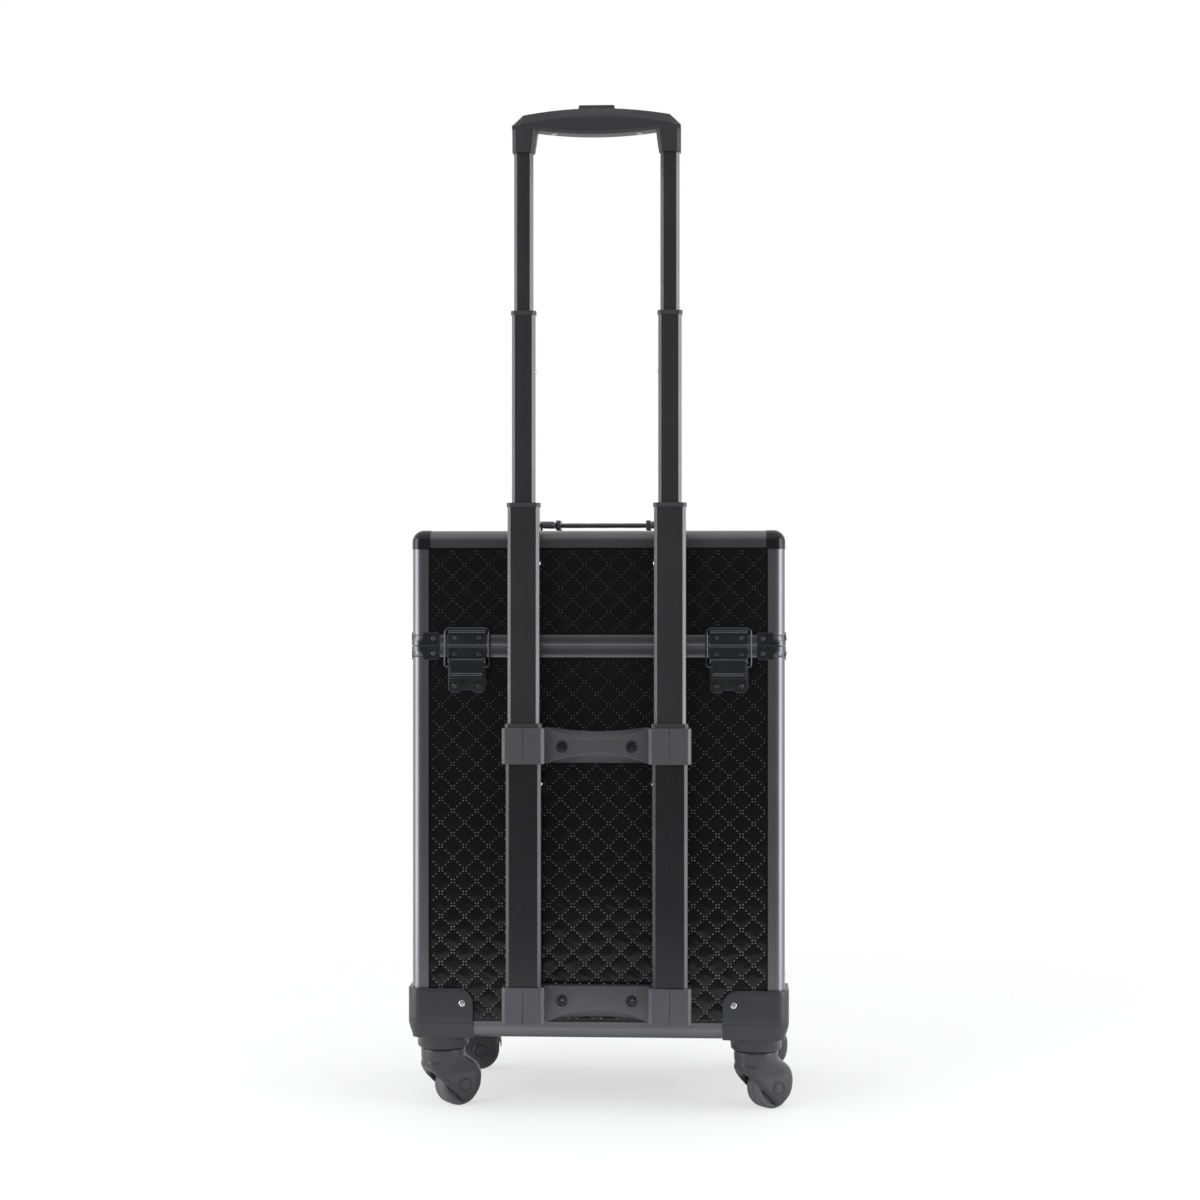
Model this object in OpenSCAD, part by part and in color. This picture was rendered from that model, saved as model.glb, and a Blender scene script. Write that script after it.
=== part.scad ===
// Rolling beauty case with a lift-off lid, four draw latches and a four-section trolley handle.
// Millimetres. Z is up from the floor, the trolley handle is on the -Y side.

/* [Case] */
// Width of the case over its edge profiles
case_w = 360; // [320:5:420]
// Depth of the case over its edge profiles
case_d = 240; // [210:5:300]
// Height of the body from its underside to the lid joint
body_h = 378; // [340:0.5:440]
// Height of the lid
lid_h = 111; // [80:0.2:160]
// Gap between the lid rail and the body rail
joint_gap = 0.5; // [0.3:0.1:1]
// Thickness of the covered boards
board_t = 5; // [4:0.5:6]
// Thickness of the soft lining
lining_t = 2; // [1:0.5:3]

/* [Edge profiles] */
// Width that a profile covers on each face
profile_w = 16.5; // [14:0.5:20]
// Metal over a board's outer face
cover_t = 1.5; // [1:0.1:2]
// Lip behind a board's inner face
lip_t = 1.2; // [0.8:0.1:1.6]
// Radius of the rounded outer edge
corner_r = 11; // [8:0.5:13]
// Radius of the hollow core along each profile
core_r = 1.6; // [1:0.1:1.8]
// How far the corner caps stand proud of the profiles
cap_proud = 0.5; // [0.3:0.1:1.5]
// Length of each leg of a corner cap
cap_leg = 18; // [17:0.5:26]

/* [Rails] */
// Height of the body rail and of the lid rail
rail_h = 10.5; // [9:0.5:14]
// Thickness of the rail's closing web
rail_web = 2.2; // [1.5:0.1:3]
// Thickness of the body rail's tongue
tongue_t = 1.5; // [1:0.1:2]
// Height of the tongue inside the lid
tongue_h = 6; // [4:0.5:8]
// Gap between the tongue and the lid rail
tongue_gap = 0.5; // [0.4:0.1:0.8]
// Reach of a rail bracket from the corner
bracket_reach = 27; // [22:0.5:28]
// Height of a rail bracket
bracket_plate_h = 13; // [12:0.5:16]
// Thickness of latch plates and rail brackets
plate_t = 1; // [0.8:0.1:1.5]
// Height of a bracket rivet above or below the joint
bracket_rivet_z = 7; // [5:0.5:8]
// Distance of a bracket rivet from the corner
bracket_rivet_x = 21.5; // [18:0.5:22]
// Depth that a board's slot runs past the profile's inner leg
seat_past = 1; // [0.5:0.1:1.5]

/* [Rivets and screws] */
// Head radius of the rivets
rivet_head_r = 2.2; // [1.8:0.1:2.6]
// Height of a rivet's domed head
rivet_head_h = 0.9; // [0.6:0.1:1.2]
// Shank radius of the rivets
rivet_r = 1.2; // [0.9:0.1:1.4]
// Shank length under the plate of a rivet
rivet_len = 3.5; // [2.5:0.1:4.5]
// Head radius of the screws
screw_head_r = 3.4; // [2.8:0.1:3.8]
// Head height of the screws
screw_head_h = 1.4; // [1:0.1:1.6]
// Shank radius of the screws
screw_r = 1.6; // [1.2:0.1:2]
// Play between a fastener and its hole
hole_play = 0.05; // [0.02:0.01:0.1]
// Width of the cross cut in a screw head
cross_w = 0.9; // [0.6:0.1:1.2]

/* [Latches] */
// Distance of each latch's middle from the case's side
latch_inset = 54; // [50:1:66]
// Width of a latch plate
latch_w = 36.5; // [32:0.5:40]
// Height of a strike plate
strike_h = 11.8; // [10.5:0.1:14]
// Radius of the roll that the loop hooks on
roll_r = 1.9; // [1.5:0.1:2.2]
// Height of a latch base plate
base_plate_h = 44; // [38:0.5:52]
// Depth of the lever pivot below the joint
pivot_drop = 13.8; // [12.5:0.1:16]
// Distance of the lever pivot in front of the base plate
pivot_out = 3; // [2.8:0.1:3.6]
// Radius of a lever's pivot pin
pin_r = 1.1; // [0.9:0.1:1.2]
// Outer radius of the lever's barrel
barrel_r = 2.2; // [2:0.1:2.4]
// Length of a lever below its pivot
lever_len = 18.5; // [15:0.5:22]
// Reach of the finger lip on a lever
lip_out = 3.2; // [2:0.1:5]
// Radius of the loop's wire
wire_r = 1.1; // [0.9:0.1:1.2]
// Distance between the loop's two side wires
loop_w = 42.4; // [41:0.1:46]
// Distance of the loop's pivot below the lever pivot
loop_drop = 5.7; // [5.4:0.1:6.4]
// Distance of the loop's pivot behind the lever pivot
loop_in = 0.6; // [0.4:0.1:0.8]
// Radius of the bends at the loop's hooked end
loop_bend = 4; // [3:0.1:4.5]
// Setback of the loop's bar from the roll's middle
bar_in = 0.7; // [0.4:0.1:1.2]
// Thickness of the ears and flanges that hold the pivots
ear_t = 1.5; // [1:0.1:1.8]
// Gap between a lever's side and the ear beside it
side_gap = 0.3; // [0.25:0.05:0.5]
// Thickness of a lever's plate and lip
lever_plate_t = 1.2; // [0.8:0.1:1.5]
// Gap between a latch plate and the joint beside it
plate_gap = 1; // [0.5:0.1:1.5]
// Distance of the latch rivets from the plate's middle
latch_rivet_x = 11.9; // [9:0.1:12.5]
// Height of the strike's rivets above the lid's edge
strike_rivet_z = 7.9; // [6:0.1:9]
// Depth of the upper plate rivets below the joint
plate_rivet_high = 8; // [6:0.1:8.5]
// Depth of the lower plate rivets below the joint
plate_rivet_low = 38; // [34:0.5:40]
// Width of the notch in a base plate's lower edge
plate_notch_w = 12; // [8:0.5:16]
// Depth of that notch
plate_notch_h = 3; // [1.5:0.1:4]

/* [Carry handle] */
// Length of the handle's grip bar
carry_bar_l = 86; // [70:1:110]
// Width of the grip bar, flat on the lid
carry_bar_w = 20; // [14:1:26]
// Thickness of the grip bar
carry_bar_t = 5; // [4:0.5:7]
// Width of the collar at each end of the bar
carry_collar_w = 5; // [4:0.5:8]
// Thickness of the collars
carry_collar_t = 10; // [8:0.2:12]
// Distance from the handle's pivot to the bar's near edge
carry_arm = 14; // [11:0.5:20]
// Width of each side arm
carry_arm_w = 12; // [9:0.5:14]
// Thickness of each side arm
carry_arm_t = 6; // [4:0.5:7]
// Radius of the handle's pivot barrels
carry_barrel_r = 3.6; // [3.2:0.1:4.2]
// Radius of the handle's pivot pins
carry_pin_r = 1.6; // [1.2:0.1:1.8]
// Thickness of the handle mounts
mount_t = 2; // [1.5:0.1:3]
// Height of the handle's pivot above the mount plate
carry_pivot_h = 6.4; // [5.6:0.1:8]
// Width of the handle mounts, across the pivot
mount_w = 18; // [14:0.5:22]
// Gap between a barrel and the mount's ear
mount_gap = 0.3; // [0.25:0.05:0.5]
// Reach of a collar past each edge of the bar
collar_over = 2; // [1:0.5:3]

/* [Trolley tubes] */
// Distance of each tube column's middle from the case's side
tube_inset = 110; // [98:1:122]
// Width of the fixed outer tubes
tube_w = 33.5; // [30:0.5:38]
// Depth of the fixed outer tubes
tube_d = 20; // [18:0.5:24]
// Wall of every tube
tube_wall = 1.2; // [0.8:0.1:1.4]
// Gap round the second tubes across the width
second_gap_w = 0.4; // [0.35:0.05:0.6]
// Gap round the third tubes across the width
third_gap_w = 2.8; // [2:0.1:3.4]
// Gap round the top tubes across the width
top_gap_w = 0.8; // [0.5:0.1:1.2]
// Gap between nested tubes across the depth
tube_gap_d = 0.4; // [0.35:0.05:0.6]
// Chamfer along the tubes' edges
tube_chamfer = 3; // [2:0.5:3.5]
// Height of the crease down the tubes' front
tube_crease = 0.8; // [0.4:0.1:1.2]
// Space between the outer tubes and the case
tube_standoff = 5.5; // [4:0.5:10]
// Length of the second tubes that shows, pulled out
second_show = 211; // [150:1:240]
// Length of the third tubes that shows, pulled out
third_show = 183.5; // [130:0.5:220]
// Length of the top tubes that shows, pulled out
top_show = 155; // [100:1:200]
// Length of each tube that stays inside the next
stage_overlap = 69; // [62:1:80]
// Depth of a lock hole below its tube's rim
lock_depth = 54; // [40:1:56]
// Radius of the lock holes
lock_hole_r = 2.6; // [2:0.1:3]
// Height of the plastic rim on each tube
rim_h = 4; // [3:0.5:6]
// How far a rim stands proud of its tube
rim_proud = 0.8; // [0.5:0.1:1.2]
// Running gap of the rims and guide bushes
slide_gap = 0.3; // [0.2:0.05:0.35]
// Height of the guide bush at each tube's lower end
bush_h = 8; // [5:0.5:12]
// Gap between a bush's plug and the tube round it
plug_gap = 0.05; // [0.02:0.01:0.08]

/* [Tube brackets] */
// Height of both tube brackets
bracket_h = 34.5; // [28:0.5:42]
// Wall of the sleeves round the tubes
sleeve_wall = 3.5; // [2.5:0.5:5]
// Thickness of the bridge's front part
bridge_t = 9; // [6:0.5:12]
// Thickness of the bridge's back part
bridge_back_t = 4; // [2:0.5:5]
// Depth of the large scoops in a bridge
scoop = 12; // [8:0.5:13]
// Distance of the scoops' ends from the sleeves
scoop_inset = 2; // [1:0.5:6]
// Depth of the shallow scoops at the bridge's back
scoop_back = 4; // [2:0.5:6]
// Depth of the upper bracket's top below the joint
bracket_drop = 77.5; // [70:0.5:100]
// Height of the lower bracket above the underside
bracket_lift = 18.5; // [8:0.5:22]
// Distance of each bracket screw from the sleeve beside it
bracket_screw_in = 16.2; // [12:0.1:20]
// Radius of the recess round each bracket screw
recess_r = 6.1; // [5:0.1:6.5]
// Depth of that recess
recess_d = 5; // [3:0.5:6]

/* [Trolley grip] */
// Reach of the grip's tips past the middle of the tubes
grip_over = 10.5; // [8:0.5:20]
// Depth of the grip
grip_d = 24; // [20:0.5:26]
// Height of the grip's legs below its underside
grip_leg = 20.5; // [14:0.5:28]
// Height of the bar at the shoulders
grip_bar_h = 14.8; // [13:0.2:20]
// Rise of the arched top
grip_rise = 6.2; // [3:0.2:9]
// Bow of the underside
grip_bow = 4; // [2:0.5:5]
// Size of the slanted shoulder
grip_shoulder = 10.6; // [6:0.2:12]
// Width of each leg at the bar's underside
grip_leg_w = 28; // [26:0.5:32]
// Wall of a leg round the tube at its foot
grip_foot_wall = 1.2; // [0.8:0.1:2]
// Length of the release button
button_l = 34.6; // [24:0.2:44]
// Width of the release button
button_w = 11; // [8:0.5:13]
// How far the release button stands out
button_proud = 3.5; // [3:0.1:5]
// Gap round the release button
button_gap = 0.3; // [0.2:0.05:0.5]
// Travel of the release button
button_travel = 3; // [2:0.1:3]
// Thickness of the flange that keeps the button in
button_flange_t = 2.5; // [2:0.1:3]
// Reach of that flange past the button's sides
button_flange = 2.5; // [2:0.1:3]
// Height of the grip's joint above its underside
grip_split_h = 3; // [2:0.1:5]
// Radius of the button's spring
spring_r = 4; // [3:0.1:4.5]
// Wall of the spring's coil
spring_wall = 1; // [0.8:0.1:1.5]

/* [Casters] */
// Radius of the wheels
wheel_r = 21; // [18:0.5:26]
// Width of the wheels
wheel_w = 20; // [16:0.5:24]
// Gap between a wheel and its hood
wheel_gap = 1.8; // [1:0.1:2.5]
// Gap between a wheel's side and the fork's cheek
cheek_gap = 0.8; // [0.5:0.1:1.5]
// Thickness of the fork's cheeks
cheek_t = 5; // [3.5:0.5:6]
// Thickness of the fork's hood
hood_t = 3.2; // [2.5:0.1:4]
// Height of the fork's hood edge above the floor
hood_lift = 3; // [2:0.5:6]
// Distance from swivel axis to wheel axis
trail = 16; // [12:0.5:18]
// Radius of the round neck on the fork
neck_r = 21.5; // [18:0.5:23]
// Height of the neck above the hood
neck_h = 11.1; // [3:0.1:14]
// Radius of the wheel axles
axle_r = 3; // [2:0.1:4]
// Running play of axles and swivel pins
axle_play = 0.05; // [0.02:0.01:0.09]
// Radius of the round axle covers
axle_cover_r = 8; // [6:0.5:10]
// Radius of the swivel pins
swivel_r = 5; // [4:0.1:6]
// Height of a swivel pin's head
pin_head_h = 2.4; // [2:0.1:3]
// Reach of that head past the pin
pin_head_over = 3; // [2.5:0.1:3.5]
// How far an axle cover stands out of the fork
axle_cover_h = 1; // [0.5:0.1:1.5]
// Radius of a wheel's rounded tread edge
tread_r = 3; // [2:0.1:4]
// Depth of the recess in a wheel's side
wheel_recess = 2; // [1:0.1:3]
// Gap between the fork and its housing
swivel_gap = 0.3; // [0.25:0.05:0.5]
// Way that three of the wheels trail, turned from +X
trail_turn = 38; // [20:1:60]
// Way that the third wheel trails, turned from +X
third_turn = 9.5; // [0:0.5:30]

/* [Corner housings] */
// Reach of a housing along each side, from the case's edge
housing_reach = 60; // [56:1:80]
// Height of a housing above the case's underside
housing_h = 48; // [36:0.5:60]
// Wall of a housing over the profiles
housing_wall = 4; // [3:0.2:6]
// Radius of a housing's upper corner
housing_r = 14; // [8:1:20]
// Floor of a housing under the case
housing_floor = 2; // [1.5:0.1:4]
// Radius of the round boss over the caster
boss_r = 24.7; // [23.5:0.1:27]
// Height of that boss
boss_h = 11; // [9:0.5:20]
// Inset of each caster from the case's sides
caster_inset = 27.5; // [26.5:0.5:32]
// Distance of a housing screw from the case's edge
housing_screw_x = 49.5; // [44:0.5:51]
// Height of a housing screw above the underside
housing_screw_z = 34; // [24:0.5:36]

/* [Hidden] */
$fn = 48;

// Colours
skin = [0.06, 0.06, 0.07];
metal_black = [0.2, 0.2, 0.2];
plastic = [0.24, 0.24, 0.25];
plastic_grey = [0.36, 0.36, 0.38];
steel = [0.78, 0.78, 0.8];
lining_grey = [0.3, 0.3, 0.33];
rubber = [0.16, 0.16, 0.17];

// Board seats inside the profiles
board_out = cover_t;
board_in = cover_t + board_t;
leg_t = board_in + lip_t;
seat = leg_t + seat_past;

// Heights
hood_r = wheel_r + wheel_gap + hood_t;
fork_top = wheel_r + hood_r + neck_h;
boss_bottom = fork_top + swivel_gap;
skirt_z = boss_bottom + boss_h;
case_bottom = skirt_z + housing_floor;
joint_z = case_bottom + body_h;
lid_bottom = joint_z + joint_gap;
case_top = lid_bottom + lid_h;

// Tube stages: 0 is the fixed tube, 3 the top one
stage_gap_w = [0, second_gap_w, third_gap_w, top_gap_w];
function stage_w(i) = i == 0 ? tube_w : stage_w(i - 1) - 2 * (tube_wall + stage_gap_w[i]);
function stage_d(i) = tube_d - 2 * i * (tube_wall + tube_gap_d);
tube_x = case_w / 2 - tube_inset;
tube_y = -(case_d / 2 - cover_t + tube_standoff + tube_d / 2);
bracket_top = joint_z - bracket_drop;
bracket_low = case_bottom + bracket_lift;
rim_z = [bracket_top, bracket_top + second_show, bracket_top + second_show + third_show];
grip_z = rim_z[2] + top_show;

// Grip
leg_draft = 0.7;
button_rest = 1.5;
grip_w = 2 * (tube_x + grip_over);
grip_under = grip_z + grip_leg;
grip_peak = grip_under + grip_bar_h + grip_rise;
grip_split = grip_under + grip_split_h;
grip_inner = tube_x - grip_leg_w / 2 + leg_draft;
button_top = grip_peak + button_proud;
spring_in = 3.5;
spring_play = 0.5;
spring_room = button_travel + 0.5;
button_flange_z = grip_split + button_travel + button_rest;

// Latches
latch_x = case_w / 2 - latch_inset;
latch_face = case_d / 2;
base_plate_front = latch_face + plate_t;
plate_low = joint_z - plate_gap - base_plate_h;
pivot_y = base_plate_front + pivot_out;
pivot_z = joint_z - pivot_drop;
lever_w = latch_w - 2 * ear_t - 2 * side_gap;
ear_r = barrel_r + 1;
loop_y = pivot_y - loop_in;
lever_plate_y = pivot_y + barrel_r - lever_plate_t;
loop_z = pivot_z - loop_drop;
roll_back = 0.2;
roll_y = latch_face + roll_r + roll_back;
roll_z = lid_bottom + strike_h + roll_r;
bar_gap = 0.1;
bar_y = roll_y - bar_in;
bar_z = roll_z + sqrt(pow(roll_r + wire_r + bar_gap, 2) - pow(bar_in, 2));
loop_lean = atan2(loop_y - bar_y, bar_z - loop_z);
loop_len = sqrt(pow(loop_y - bar_y, 2) + pow(bar_z - loop_z, 2));

// Casters
caster_x = case_w / 2 - caster_inset;
caster_y = case_d / 2 - caster_inset;
fork_w = wheel_w + 2 * cheek_gap + 2 * cheek_t;
axle_l = fork_w - 2;
pin_head_r = swivel_r + pin_head_over;

// Rails, handle and brackets
body_board_z = [case_bottom + seat, joint_z - rail_web];
lid_board_z = [lid_bottom + rail_web, case_top - seat];
tongue_out = leg_t + tongue_gap;
tongue_in = tongue_out + tongue_t;
carry_y = -(carry_arm + carry_bar_w / 2);
carry_z = case_top + mount_t + carry_pivot_h;
carry_half = carry_bar_l / 2 + carry_collar_w + carry_arm_w;
barrel_short = 1;
barrel_l = carry_arm_w - barrel_short;
sleeve_w = tube_w + 2 * sleeve_wall;
bridge_half = tube_x - sleeve_w / 2;
scoop_half = bridge_half - scoop_inset;
bracket_screw_x = bridge_half - bracket_screw_in;
bridge_front = case_d / 2 - cover_t + bridge_back_t + bridge_t;
bracket_screw_low = bracket_low + bracket_h * 0.6;
bracket_screw_high = bracket_top - bracket_h * 0.53;

// Fasteners stop this far short of a board's inner face
fastener_short = 1;
bracket_screw_len = bridge_front - recess_d - (case_d / 2 - board_in) - fastener_short;
housing_screw_len = housing_wall + cover_t + board_t - fastener_short;

// The whole is centred on the origin, and the tubes reach further out than the front latches
rear_reach = tube_d / 2 + sleeve_wall - tube_y;
front_reach = lever_plate_y + lip_out;
case_shift = (rear_reach - front_reach) / 2;
e = 0.01;

module in_place() {
    translate([0, case_shift, 0]) children();
}

// Copies at the four upright edges, mirrored so that +X and +Y point into the case
module at_corners() {
    for (sx = [0, 1], sy = [0, 1])
        mirror([sx, 0, 0]) mirror([0, sy, 0]) translate([-case_w / 2, -case_d / 2, 0]) children();
}

module rounded_rect(w, d, r) {
    square([w - 2 * r, d], center = true);
    square([w, d - 2 * r], center = true);
    for (sx = [-1, 1], sy = [-1, 1]) translate([sx * (w / 2 - r), sy * (d / 2 - r)]) circle(r);
}

// Outline of the case, grown by g
module case_outline(g = 0) {
    rounded_rect(case_w + 2 * g, case_d + 2 * g, corner_r + g);
}

// Square with one rounded corner at the origin
module round_square(size, r) {
    difference() {
        square(size);
        difference() {
            translate([-1, -1]) square(r + 1);
            translate([r, r]) circle(r);
        }
    }
}

// Cross section of the edge profile: an L with a slot for each board and a hollow core
module profile_section() {
    difference() {
        round_square(profile_w, corner_r);
        translate([leg_t, leg_t]) square(profile_w);
        translate([seat, board_out]) square([profile_w, board_t]);
        translate([board_out, seat]) square([board_t, profile_w]);
        translate([corner_r / 2, corner_r / 2]) circle(core_r);
    }
}

// Profile along X or Y with its rounded edge at the origin
module profile_x(l) {
    rotate([90, 0, 90]) translate([0, 0, -l / 2]) linear_extrude(l) profile_section();
}
module profile_y(l) {
    rotate([90, 0, 0]) translate([0, 0, -l / 2]) linear_extrude(l) profile_section();
}

// Four profiles round the bottom edge of a box, stopping short of the corners
module profile_frame(short) {
    for (a = [0, 180]) rotate([0, 0, a]) {
        translate([0, -case_d / 2, 0]) profile_x(case_w - 2 * short);
        translate([-case_w / 2, 0, 0]) profile_y(case_d - 2 * short);
    }
}

// Solid block with one corner rounded all ways
module round_corner(l, r) {
    intersection() {
        cube(l);
        union() {
            translate([r, r, r]) {
                sphere(r);
                cylinder(h = l, r = r);
                rotate([0, 90, 0]) cylinder(h = l, r = r);
                rotate([-90, 0, 0]) cylinder(h = l, r = r);
            }
            translate([r, r, 0]) cube(l);
            translate([r, 0, r]) cube(l);
            translate([0, r, r]) cube(l);
        }
    }
}

// Domed rivet along -Y: the head sits on y = 0, the shank runs into +Y
module rivet(len) {
    dome_r = (pow(rivet_head_r, 2) + pow(rivet_head_h, 2)) / (2 * rivet_head_h);
    intersection() {
        translate([0, dome_r - rivet_head_h, 0]) sphere(dome_r);
        rotate([90, 0, 0]) cylinder(h = rivet_head_h + 1, r = rivet_head_r + e);
    }
    rotate([-90, 0, 0]) cylinder(h = len, r = rivet_r);
}
module rivet_hole(len) {
    rotate([-90, 0, 0]) translate([0, 0, -1]) cylinder(h = len + 1 + hole_play, r = rivet_r + hole_play);
}

// Pan screw along -Y with a cross in its head
module screw(len) {
    difference() {
        rotate([90, 0, 0]) cylinder(h = screw_head_h, r = screw_head_r);
        for (a = [0, 90]) rotate([0, a, 0])
            translate([-screw_head_r * 0.6, -screw_head_h - e, -cross_w / 2])
                cube([screw_head_r * 1.2, screw_head_h * 0.6, cross_w]);
    }
    rotate([-90, 0, 0]) cylinder(h = len, r = screw_r);
}
module screw_hole(len) {
    rotate([-90, 0, 0]) translate([0, 0, -1]) cylinder(h = len + 1 + hole_play, r = screw_r + hole_play);
}

// Places of the fasteners, each facing out along -Y
module at_latches(list = [0, 1, 2, 3]) {
    for (i = list) rotate([0, 0, i < 2 ? 0 : 180])
        translate([(i % 2 == 0 ? -1 : 1) * latch_x, 0, 0]) children();
}
module at_strike_rivets() {
    at_latches() for (s = [-1, 1])
        translate([s * latch_rivet_x, -base_plate_front, lid_bottom + strike_rivet_z]) children();
}
module at_plate_rivets() {
    at_latches() for (s = [-1, 1], z = [plate_rivet_high, plate_rivet_low])
        translate([s * latch_rivet_x, -base_plate_front, joint_z - z]) children();
}
// Two rivets per rail bracket, one on each face of the corner
module at_bracket_rivets(z) {
    for (a = [0, 180]) rotate([0, 0, a]) for (s = [-1, 1]) {
        translate([s * (case_w / 2 - bracket_rivet_x), -case_d / 2 - plate_t, z]) children();
        rotate([0, 0, 90])
            translate([s * (case_d / 2 - bracket_rivet_x), -case_w / 2 - plate_t, z]) children();
    }
}
module at_housing_screws() {
    z = case_bottom + housing_screw_z;
    for (a = [0, 180]) rotate([0, 0, a]) for (s = [-1, 1]) {
        translate([s * (case_w / 2 - housing_screw_x), -case_d / 2 - housing_wall, z]) children();
        rotate([0, 0, 90])
            translate([s * (case_d / 2 - housing_screw_x), -case_w / 2 - housing_wall, z]) children();
    }
}
module at_bracket_screws() {
    for (s = [-1, 1], z = [bracket_screw_low, bracket_screw_high])
        translate([s * bracket_screw_x, -bridge_front + recess_d, z]) children();
}

// Boards

// Upright board across X, its outer face on the given side, between two heights
module board_x(side, z0, z1) {
    translate([-(case_w / 2 - seat), side < 0 ? -(case_d / 2 - board_out) : case_d / 2 - board_in, z0])
        cube([case_w - 2 * seat, board_t, z1 - z0]);
}
module board_y(z0, z1) {
    for (s = [0, 1]) mirror([s, 0, 0])
        translate([-(case_w / 2 - board_out), -(case_d / 2 - seat), z0])
            cube([board_t, case_d - 2 * seat, z1 - z0]);
}
module flat_board(z) {
    translate([-(case_w / 2 - seat), -(case_d / 2 - seat), z])
        cube([case_w - 2 * seat, case_d - 2 * seat, board_t]);
}

module body_fixings() {
    at_housing_screws() screw_hole(housing_screw_len);
    at_bracket_screws() screw_hole(bracket_screw_len);
    at_plate_rivets() rivet_hole(rivet_len + plate_t);
    at_bracket_rivets(joint_z - bracket_rivet_z) rivet_hole(rivet_len + plate_t);
}
module lid_fixings() {
    at_strike_rivets() rivet_hole(rivet_len + plate_t);
    at_bracket_rivets(lid_bottom + bracket_rivet_z) rivet_hole(rivet_len + plate_t);
}

module base_panel() color(skin) in_place() flat_board(case_bottom + board_out);
module front_panel() color(skin) in_place() difference() {
    board_x(1, body_board_z[0], body_board_z[1]);
    body_fixings();
}
module back_panel() color(skin) in_place() difference() {
    board_x(-1, body_board_z[0], body_board_z[1]);
    body_fixings();
}
module end_panels() color(skin) in_place() difference() {
    board_y(body_board_z[0], body_board_z[1]);
    body_fixings();
}
module lid_top_panel() color(skin) in_place() flat_board(case_top - board_in);
module lid_front_panel() color(skin) in_place() difference() {
    board_x(1, lid_board_z[0], lid_board_z[1]);
    lid_fixings();
}
module lid_back_panel() color(skin) in_place() difference() {
    board_x(-1, lid_board_z[0], lid_board_z[1]);
    lid_fixings();
}
module lid_end_panels() color(skin) in_place() difference() {
    board_y(lid_board_z[0], lid_board_z[1]);
    lid_fixings();
}

// Linings: open boxes inside the boards
module lining(z0, z1, open_up) {
    difference() {
        translate([-(case_w / 2 - leg_t), -(case_d / 2 - leg_t), z0])
            cube([case_w - 2 * leg_t, case_d - 2 * leg_t, z1 - z0]);
        translate([-(case_w / 2 - leg_t - lining_t), -(case_d / 2 - leg_t - lining_t),
                z0 + (open_up ? lining_t : -1)])
            cube([case_w - 2 * (leg_t + lining_t), case_d - 2 * (leg_t + lining_t),
                z1 - z0 - lining_t + 1]);
    }
}
module body_lining() color(lining_grey) in_place()
    lining(case_bottom + leg_t, joint_z - rail_h, true);
module lid_lining() color(lining_grey) in_place()
    lining(lid_bottom + rail_h, case_top - leg_t, false);

// Profiles
module body_posts() color(metal_black) in_place() at_corners()
    translate([0, 0, case_bottom]) linear_extrude(body_h - rail_h) profile_section();
module base_profiles() color(metal_black) in_place()
    translate([0, 0, case_bottom]) profile_frame(profile_w);
module lid_posts() color(metal_black) in_place() at_corners()
    translate([0, 0, lid_bottom + rail_h]) linear_extrude(lid_h - rail_h - cap_leg) profile_section();
module lid_profiles() color(metal_black) in_place()
    translate([0, 0, case_top]) mirror([0, 0, 1]) profile_frame(cap_leg);
module lid_corner_caps() color(metal_black) in_place() at_corners()
    translate([0, 0, case_top]) mirror([0, 0, 1]) difference() {
        translate([-cap_proud, -cap_proud, -cap_proud])
            round_corner(cap_leg + cap_proud, corner_r + cap_proud);
        translate([leg_t, leg_t, leg_t]) cube(cap_leg);
        translate([seat, board_out, seat]) cube([cap_leg, board_t, cap_leg]);
        translate([board_out, seat, seat]) cube([board_t, cap_leg, cap_leg]);
        translate([seat, seat, board_out]) cube([cap_leg, cap_leg, board_t]);
    }

// Rails: a ring that caps the boards' edges
module rail_ring(h) {
    linear_extrude(h) difference() {
        case_outline();
        square([case_w - 2 * leg_t, case_d - 2 * leg_t], center = true);
    }
}
module body_rail() color(metal_black) in_place() difference() {
    union() {
        translate([0, 0, joint_z - rail_h]) rail_ring(rail_h);
        translate([0, 0, joint_z - rail_web]) linear_extrude(rail_web) difference() {
            square([case_w - 2 * leg_t, case_d - 2 * leg_t], center = true);
            square([case_w - 2 * tongue_in, case_d - 2 * tongue_in], center = true);
        }
        translate([0, 0, joint_z - rail_web]) linear_extrude(rail_web + tongue_h) difference() {
            square([case_w - 2 * tongue_out, case_d - 2 * tongue_out], center = true);
            square([case_w - 2 * tongue_in, case_d - 2 * tongue_in], center = true);
        }
    }
    board_x(1, joint_z - rail_h - 1, joint_z - rail_web);
    board_x(-1, joint_z - rail_h - 1, joint_z - rail_web);
    board_y(joint_z - rail_h - 1, joint_z - rail_web);
    body_fixings();
}
module lid_rail() color(metal_black) in_place() difference() {
    translate([0, 0, lid_bottom]) rail_ring(rail_h);
    board_x(1, lid_bottom + rail_web, lid_bottom + rail_h + 1);
    board_x(-1, lid_bottom + rail_web, lid_bottom + rail_h + 1);
    board_y(lid_bottom + rail_web, lid_bottom + rail_h + 1);
    lid_fixings();
}

// Rail brackets wrap each corner over its rail
module rail_brackets(z) {
    translate([0, 0, z]) linear_extrude(bracket_plate_h) intersection() {
        difference() {
            case_outline(plate_t);
            case_outline();
        }
        at_corners() translate([-plate_t - 1, -plate_t - 1]) square(bracket_reach + plate_t + 1);
    }
}
module body_rail_brackets() color(metal_black) in_place() difference() {
    rail_brackets(joint_z - bracket_plate_h);
    body_fixings();
}
module lid_rail_brackets() color(metal_black) in_place() difference() {
    rail_brackets(lid_bottom);
    lid_fixings();
}

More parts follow.
